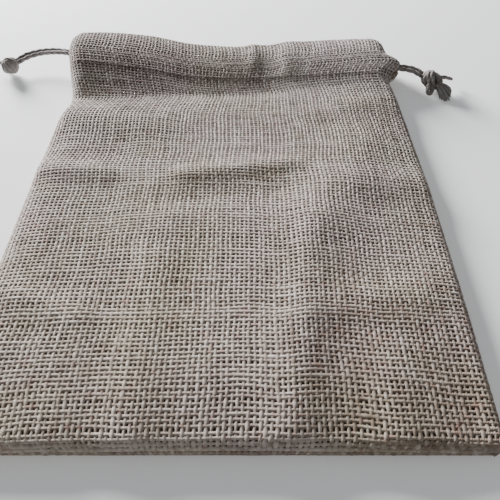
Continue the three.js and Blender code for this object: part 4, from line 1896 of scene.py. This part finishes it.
@dataclass
class KnotForm:
    """A tight overhand knot tied in both strands of a cord: wraps round a core, leads, tails and a bight.

    The leads run from the knot's middle to where the cord's two strands end. Each tail is its route and its
    thickness at tail_at's shares of it. A bight is a turn of the cord that stands out of the knot.
    """

    end: End
    place: tuple[float, float, float]
    turn: float
    stretch: float
    wrap: float
    leads: tuple
    tails: tuple
    bight: tuple = ()
    fray: FrayedEnd | None = None
    tail_at: tuple[float, float, float] = (0, 0.6, 1)
    wraps: int = 3
    wrap_points: int = 60
    wrap_step: float = 0.7
    weave: float = 0.5
    lean: float = 70.0
    beside: float = 0.34
    step: float = 0.6
    core: float = 3.7
    core_rings: int = 15
    core_reach: float = 0.985
    core_sides: int = 12
    core_tint: float = 0.35

    def build(self, twine: Twine, finishes: Finishes) -> list[bpy.types.Object]:
        """Ties the knot.

        Args:
            twine: the cord that it is tied in.
            finishes: the pouch's materials.

        Returns:
            The knot's core, wraps, leads and tails.
        """
        pieces = [self._core()]
        for number in range(self.wraps):
            for side in (-1, 1):
                strand = self._wrap(number, side * self.beside * twine.diameter)
                line = even_steps(self._placed(strand), self.wrap_step)
                letter = "abc"[number] + ("1" if side < 0 else "2")
                pieces.append(twine.plies(line).build(f"knot_{self.end.value}_wrap_{letter}"))
        for number, lead in enumerate(self.leads):
            line = along_route((self.place, self._towards(lead), lead), self.step)
            pieces.append(twine.plies(line).build(f"knot_{self.end.value}_lead_{'ab'[number]}"))
        for number, (points, swell) in enumerate(self.tails):
            line = along_route(points, self.step)
            thickness = np.interp(np.linspace(0, 1, len(line)), self.tail_at, swell)
            tail = twine.plies(line, swell=thickness)
            pieces.append(tail.build(f"knot_{self.end.value}_tail_{'ab'[number]}"))
        if self.bight:
            line = along_route(self.bight, self.step)
            pieces.append(twine.plies(line).build(f"knot_{self.end.value}_bight"))
        if self.fray:
            pieces.append(self.fray.build(f"knot_{self.end.value}_fray"))
        for piece in pieces:
            piece.data.materials.append(finishes.twine)
            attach(piece, "root")
            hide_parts(f"knot_{self.end.value}")
        return pieces

    def _towards(self, lead: tuple) -> tuple:
        """A point halfway along a lead."""
        return tuple((a + b) / 2 for a, b in zip(self.place, lead))

    def _wrap(self, number: int, shift: float) -> Array:
        """One strand of one wrap, which goes over the next wrap and under the last.

        Args:
            number: which wrap it is.
            shift: how far beside the middle of the wrap it lies.

        Returns:
            The strand's points, round the knot's own middle.
        """
        t = np.linspace(0, 2 * math.pi, self.wrap_points)
        radius = self.wrap + self.weave * np.cos(2 * t + number * math.pi / 2)
        ring = np.column_stack([radius * np.cos(t), radius * np.sin(t), shift + 0 * t])
        lean = math.radians(self.lean)
        cos, sin = math.cos(lean), math.sin(lean)
        tip = np.array([[1, 0, 0], [0, cos, -sin], [0, sin, cos]])
        return ring @ tip.T @ about_z(number * math.pi / self.wraps).T

    def _placed(self, line: Array) -> Array:
        """Stretches, turns and moves a line from the knot's own place to where the knot lies.

        Args:
            line: points round the knot's own middle.

        Returns:
            The points in the frame.
        """
        spin = about_z(math.radians(self.turn))
        x, y, z = self.place
        return (line * (self.stretch, 1, 1)) @ spin.T + np.array([x, y - SIZES.length / 2, z])

    def _core(self) -> bpy.types.Object:
        """Makes the strands in the knot's middle, as one round body under the wraps.

        Returns:
            The body.
        """
        at = np.linspace(-self.core_reach, self.core_reach, self.core_rings)
        line = self._placed(np.column_stack([0 * at, 0 * at, at * self.core]))
        size = np.sqrt(1 - at**2) * self.core
        across, up = np.zeros((1, len(at), 3)), np.zeros((1, len(at), 3))
        across[..., 0], up[..., 1] = 1, 1
        return TubeBundle(
            centres=line[None],
            across=across,
            up=up,
            half_width=size[None] * self.stretch,
            half_height=size[None],
            tint=np.full((1, len(at)), self.core_tint),
            sides=self.core_sides,
        ).build(f"knot_{self.end.value}_core")


@dataclass
class Drawcord:
    """One cord: two free strands from its knot to the casing, and the loop that runs round inside it.

    The loop doesn't show, so its plies run straight in few, long steps.
    """

    end: End
    route: tuple
    knot: KnotForm
    exit_x: float
    inside_x: float
    step: float = 0.7
    twine: Twine = field(default_factory=Twine)
    hidden_step: float = 2.4
    hidden: Twine = field(default_factory=lambda: Twine(lay=NO_TURN, sides=6))

    def build(self, finishes: Finishes) -> list[bpy.types.Object]:
        """Lays the cord and ties its knot.

        Args:
            finishes: the pouch's materials.

        Returns:
            Every piece of the cord.
        """
        line = along_route(self.route, self.step)
        past = np.abs(line[:, 0]) > abs(self.inside_x)
        free = past & (np.sign(line[:, 0]) == np.sign(self.inside_x))
        first = int(np.argmin(free))
        last = len(line) - int(np.argmin(free[::-1]))
        knots = self.knot.build(self.twine, finishes)
        runs = {"upper": line[:first][::-1], "lower": line[last:]}
        pieces = list(knots)
        for number, (place, run) in enumerate(runs.items()):
            piece = self.twine.plies(run).build(f"drawcord_{self.end.value}_{place}")
            self._dress(piece, finishes)
            length = float(np.linalg.norm(np.diff(run, axis=0), axis=1).sum())
            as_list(knots if number == 0 else [knots[0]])
            pieces.append(piece)
        inside = even_steps(line[first - 1 : last + 1], self.hidden_step)
        loop = self.hidden.plies(inside).build(f"drawcord_{self.end.value}_hidden")
        self._dress(loop, finishes)
        pieces.append(loop)
        return pieces

    def _dress(self, piece: bpy.types.Object, finishes: Finishes) -> None:
        """Gives a stretch of cord its material and its body, and hides the cord's solid.

        Args:
            piece: the stretch of cord.
            finishes: the pouch's materials.
        """
        piece.data.materials.append(finishes.twine)
        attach(piece, "root")
        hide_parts(f"drawcord_{self.end.value}")


# ---- Stitching ----
@dataclass
class CasingStitches:
    """The line of sewing that closes a casing: one stitch modelled, then copied along the line."""

    stitch: float = 3.4
    gap: float = 0.5
    thick: float = 0.42
    sides: int = 6
    rod: float = 0.8
    tip: float = 0.1
    tip_size: float = 0.55
    sunk: float = 0.12
    ends_clear: float = 0.03
    places: int = 400
    tilt: float = 0.06
    paleness: tuple[float, float] = (0.45, 0.8)
    seed: int = 3

    def _one(self) -> bpy.types.Object:
        """Models one stitch: a rod with small, tapered ends.

        Returns:
            The rod, along z.
        """
        bpy.ops.object.select_all(action="DESELECT")
        bpy.ops.mesh.primitive_cylinder_add(
            vertices=self.sides, radius=self.thick / 2, depth=self.stitch * self.rod
        )
        rod = bpy.context.object
        rod.name = "one_stitch"
        bpy.ops.object.mode_set(mode="EDIT")
        bpy.ops.mesh.select_mode(type="FACE")
        bpy.ops.mesh.select_all(action="DESELECT")
        bpy.ops.object.mode_set(mode="OBJECT")
        for face in rod.data.polygons:
            face.select = abs(face.normal.z) > UPRIGHT
        bpy.ops.object.mode_set(mode="EDIT")
        bpy.ops.mesh.extrude_faces_move(TRANSFORM_OT_shrink_fatten={"value": self.stitch * self.tip})
        bpy.ops.transform.resize(value=(self.tip_size, self.tip_size, 1))
        bpy.ops.object.mode_set(mode="OBJECT")
        return rod

    def build(self, panel: Panel, finishes: Finishes) -> bpy.types.Object:
        """Sews along a panel's stitch line.

        Args:
            panel: the panel that the casing is part of.
            finishes: the pouch's materials.

        Returns:
            The joined stitches.
        """
        rod = self._one()
        shape = np.zeros(len(rod.data.vertices) * 3)
        rod.data.vertices.foreach_get("co", shape)
        shape = shape.reshape(-1, 3)
        loops = np.zeros(len(rod.data.loops), np.int32)
        rod.data.loops.foreach_get("vertex_index", loops)
        starts = np.zeros(len(rod.data.polygons), np.int32)
        rod.data.polygons.foreach_get("loop_start", starts)
        bpy.data.objects.remove(rod, do_unlink=True)
        share, cloth = self._line(panel)
        points, normals, _, _ = panel.grid.at(share, cloth)
        forward = unit(np.gradient(points, axis=0))
        beside = unit(np.cross(normals, forward))
        rng = np.random.default_rng(self.seed)
        tilt = rng.uniform(-self.tilt, self.tilt, len(points))[:, None]
        forward = unit(forward + beside * tilt)
        beside = unit(np.cross(normals, forward))
        seats = points - normals * self.sunk
        placed = (
            seats[:, None, :]
            + shape[None, :, 0:1] * beside[:, None, :]
            + shape[None, :, 1:2] * normals[:, None, :]
            + shape[None, :, 2:3] * forward[:, None, :]
        )
        count = len(seats)
        all_loops = (loops[None, :] + (np.arange(count) * len(shape))[:, None]).ravel()
        all_starts = (starts[None, :] + (np.arange(count) * len(loops))[:, None]).ravel()
        name = f"{panel.label}_stitches"
        mesh = mesh_of(name, placed.reshape(-1, 3), all_loops, all_starts)
        length = np.tile(shape[:, 2], count)
        round_it = np.tile(np.arctan2(shape[:, 1], shape[:, 0]) / (2 * math.pi), count)
        add_map(mesh, "grain", np.stack([length, round_it], axis=-1)[all_loops])
        add_tint(mesh, np.repeat(rng.uniform(*self.paleness, count), len(shape)))
        piece = new_object(name, mesh)
        piece.data.materials.append(finishes.thread)
        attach(piece, "root")
        return piece

    def _line(self, panel: Panel) -> tuple[Array, Array]:
        """Where the stitches go.

        Args:
            panel: the panel that the casing is part of.

        Returns:
            Shares of the width, and millimetres along the cloth.
        """
        grid = panel.grid
        wanted = np.linspace(self.ends_clear, 1 - self.ends_clear, self.places)
        column = (wanted * (grid.columns - 1)).astype(int)
        before = int(grid.edge / grid.step)
        ys = grid.points[:before, column, 1] + SIZES.length / 2
        if panel.face is Face.FRONT:
            target = read_table(MOUTH, "x", "stitch_y", grid.points[before // 2, column, 0])
        else:
            target = np.full(len(column), SIZES.back_stitch)
        run = np.arange(before) * grid.step
        cloth = np.array([np.interp(target[k], ys[:, k], run) for k in range(len(column))])
        far = distances(grid.at(wanted, cloth)[0])
        at = np.arange(self.stitch / 2, far[-1] - self.stitch / 2, self.stitch + self.gap)
        return np.interp(at, far, wanted), np.interp(at, far, cloth)


# ---- Studio ----
@dataclass
class Studio:
    """Camera, floor and soft light. Angles are in degrees, distances in metres and power in watts."""

    lens: float = 38.16
    camera_at: tuple[float, float, float] = (0.0103, -0.195, 0.179)
    pitch: float = 48.2
    sensor: float = 36.0
    nearest: float = 0.01
    floor: float = 3.0
    floor_down: float = 0.0002
    window_turn: float = -35.0
    window_rise: float = 15.0
    window_off: float = 1.3
    window_size: float = 0.5
    window_power: float = 94.0
    window_tone: Colour = (0.97, 0.98, 1.0)
    fill: float = 0.30
    fill_tone: Colour = (0.92, 0.95, 1.0)

    def camera(self) -> None:
        """Stands the camera before the bottom seam, looking down at the pouch."""
        data = bpy.data.cameras.new("camera")
        data.lens = self.lens
        data.sensor_width = self.sensor
        data.clip_start = self.nearest
        eye = bpy.data.objects.new("camera", data)
        eye.location = self.camera_at
        eye.rotation_euler = (math.radians(90 - self.pitch), 0, 0)
        bpy.context.scene.collection.objects.link(eye)
        bpy.context.scene.camera = eye

    def surroundings(self) -> None:
        """Lays the floor and hangs the lights."""
        bpy.ops.object.select_all(action="DESELECT")
        bpy.ops.mesh.primitive_plane_add(size=self.floor, location=(0, 0, -self.floor_down))
        floor = bpy.context.object
        floor.name = "floor"
        bpy.ops.object.transform_apply(location=True, rotation=False, scale=False)
        floor.data.materials.append(FloorFinish().material())
        self._window()
        world = bpy.data.worlds.new("studio")
        world.use_nodes = True
        sky = world.node_tree.nodes["Background"]
        sky.inputs[0].default_value = (*self.fill_tone, 1)
        sky.inputs[1].default_value = self.fill
        bpy.context.scene.world = world

    def _window(self) -> None:
        """Hangs the one large soft lamp, low behind the pouch's mouth and to the left."""
        turn, rise = math.radians(self.window_turn), math.radians(self.window_rise)
        level = math.cos(rise)
        place = Vector((level * math.sin(turn), level * math.cos(turn), math.sin(rise)))
        data = bpy.data.lights.new("window", "AREA")
        data.shape = "DISK"
        data.size = self.window_size
        data.energy = self.window_power
        data.color = self.window_tone
        lamp = bpy.data.objects.new("window", data)
        lamp.location = place * self.window_off
        lamp.rotation_euler = place.to_track_quat("Z", "Y").to_euler()
        bpy.context.scene.collection.objects.link(lamp)


def report(piece: bpy.types.Object) -> None:
    """Logs one piece's name and size."""
    triangles = sum(len(face.vertices) - 2 for face in piece.data.polygons)
    log.info("%s: %d triangles", piece.name, triangles)


def left_cord() -> Drawcord:
    """The left cord: its knot hides its two cut ends.

    Returns:
        The cord, ready to build.
    """
    knot = KnotForm(
        End.LEFT,
        place=(-141.8, 245.4, 6.2),
        turn=62,
        stretch=1.0,
        wrap=3.9,
        leads=(LEFT_ROUTE[0], LEFT_ROUTE[-1]),
        tails=(
            (
                ((-144.6, 246.6, 6.8), (-147.6, 248, 6.8), (-150.4, 249, 6.2), (-152.8, 249.8, 5.2)),
                (1, 1, 0.7),
            ),
            (
                ((-143, 248, 5), (-145.4, 250.6, 3.6), (-147.8, 253, 2.4), (-150, 255.2, 1.9)),
                (1, 1, 0.8),
            ),
        ),
    )
    return Drawcord(End.LEFT, LEFT_ROUTE, knot, exit_x=-104, inside_x=-89)


def right_cord() -> Drawcord:
    """The right cord: a frayed end, a cut end and a bight stand out of its knot.

    Returns:
        The cord, ready to build.
    """
    fray = FrayedEnd(
        root=(123.4, 225.6, 5.4),
        tips=((134.6, 226, 2), (133.4, 219.6, 1.6), (129.6, 211.8, 1.2), (125.4, 214.6, 1.4)),
    )
    knot = KnotForm(
        End.RIGHT,
        place=(121.6, 228, 6.3),
        turn=-52,
        stretch=1.25,
        wrap=4.2,
        leads=(RIGHT_ROUTE[0], RIGHT_ROUTE[-1]),
        tails=(
            (
                ((124.4, 229.4, 7.2), (128.4, 231, 6.6), (132.4, 232.2, 5.4), (136, 233.2, 3.8)),
                (1, 0.9, 0.7),
            ),
        ),
        bight=(
            (120.6, 226, 6.4), (118.4, 222, 4.8), (118.2, 219.2, 3), (119.9, 218.8, 2.9), (121.2, 222.6, 4.6),
        ),
        fray=fray,
    )
    return Drawcord(End.RIGHT, RIGHT_ROUTE, knot, exit_x=103, inside_x=82)


PANEL_SEEDS = {Face.FRONT: 11, Face.BACK: 23}


def main() -> None:
    """Builds the studio, the cords and the cloth in order, and logs each piece."""
    logging.basicConfig(level=logging.INFO, format="%(name)s %(message)s")
    studio = Studio()
    studio.camera()
    finishes = Finishes()
    for cord in (left_cord(), right_cord()):
        for piece in cord.build(finishes):
            report(piece)
    for face in Face:
        panel = Panel(face, seed=PANEL_SEEDS[face])
        before = set(bpy.data.objects)
        panel.build(finishes)
        CasingStitches().build(panel, finishes)
        if face is Face.FRONT:
            StrayFibres().build(panel, finishes)
        for piece in sorted(set(bpy.data.objects) - before, key=lambda made: made.name):
            report(piece)
    studio.surroundings()


if __name__ == "__main__":
    main()
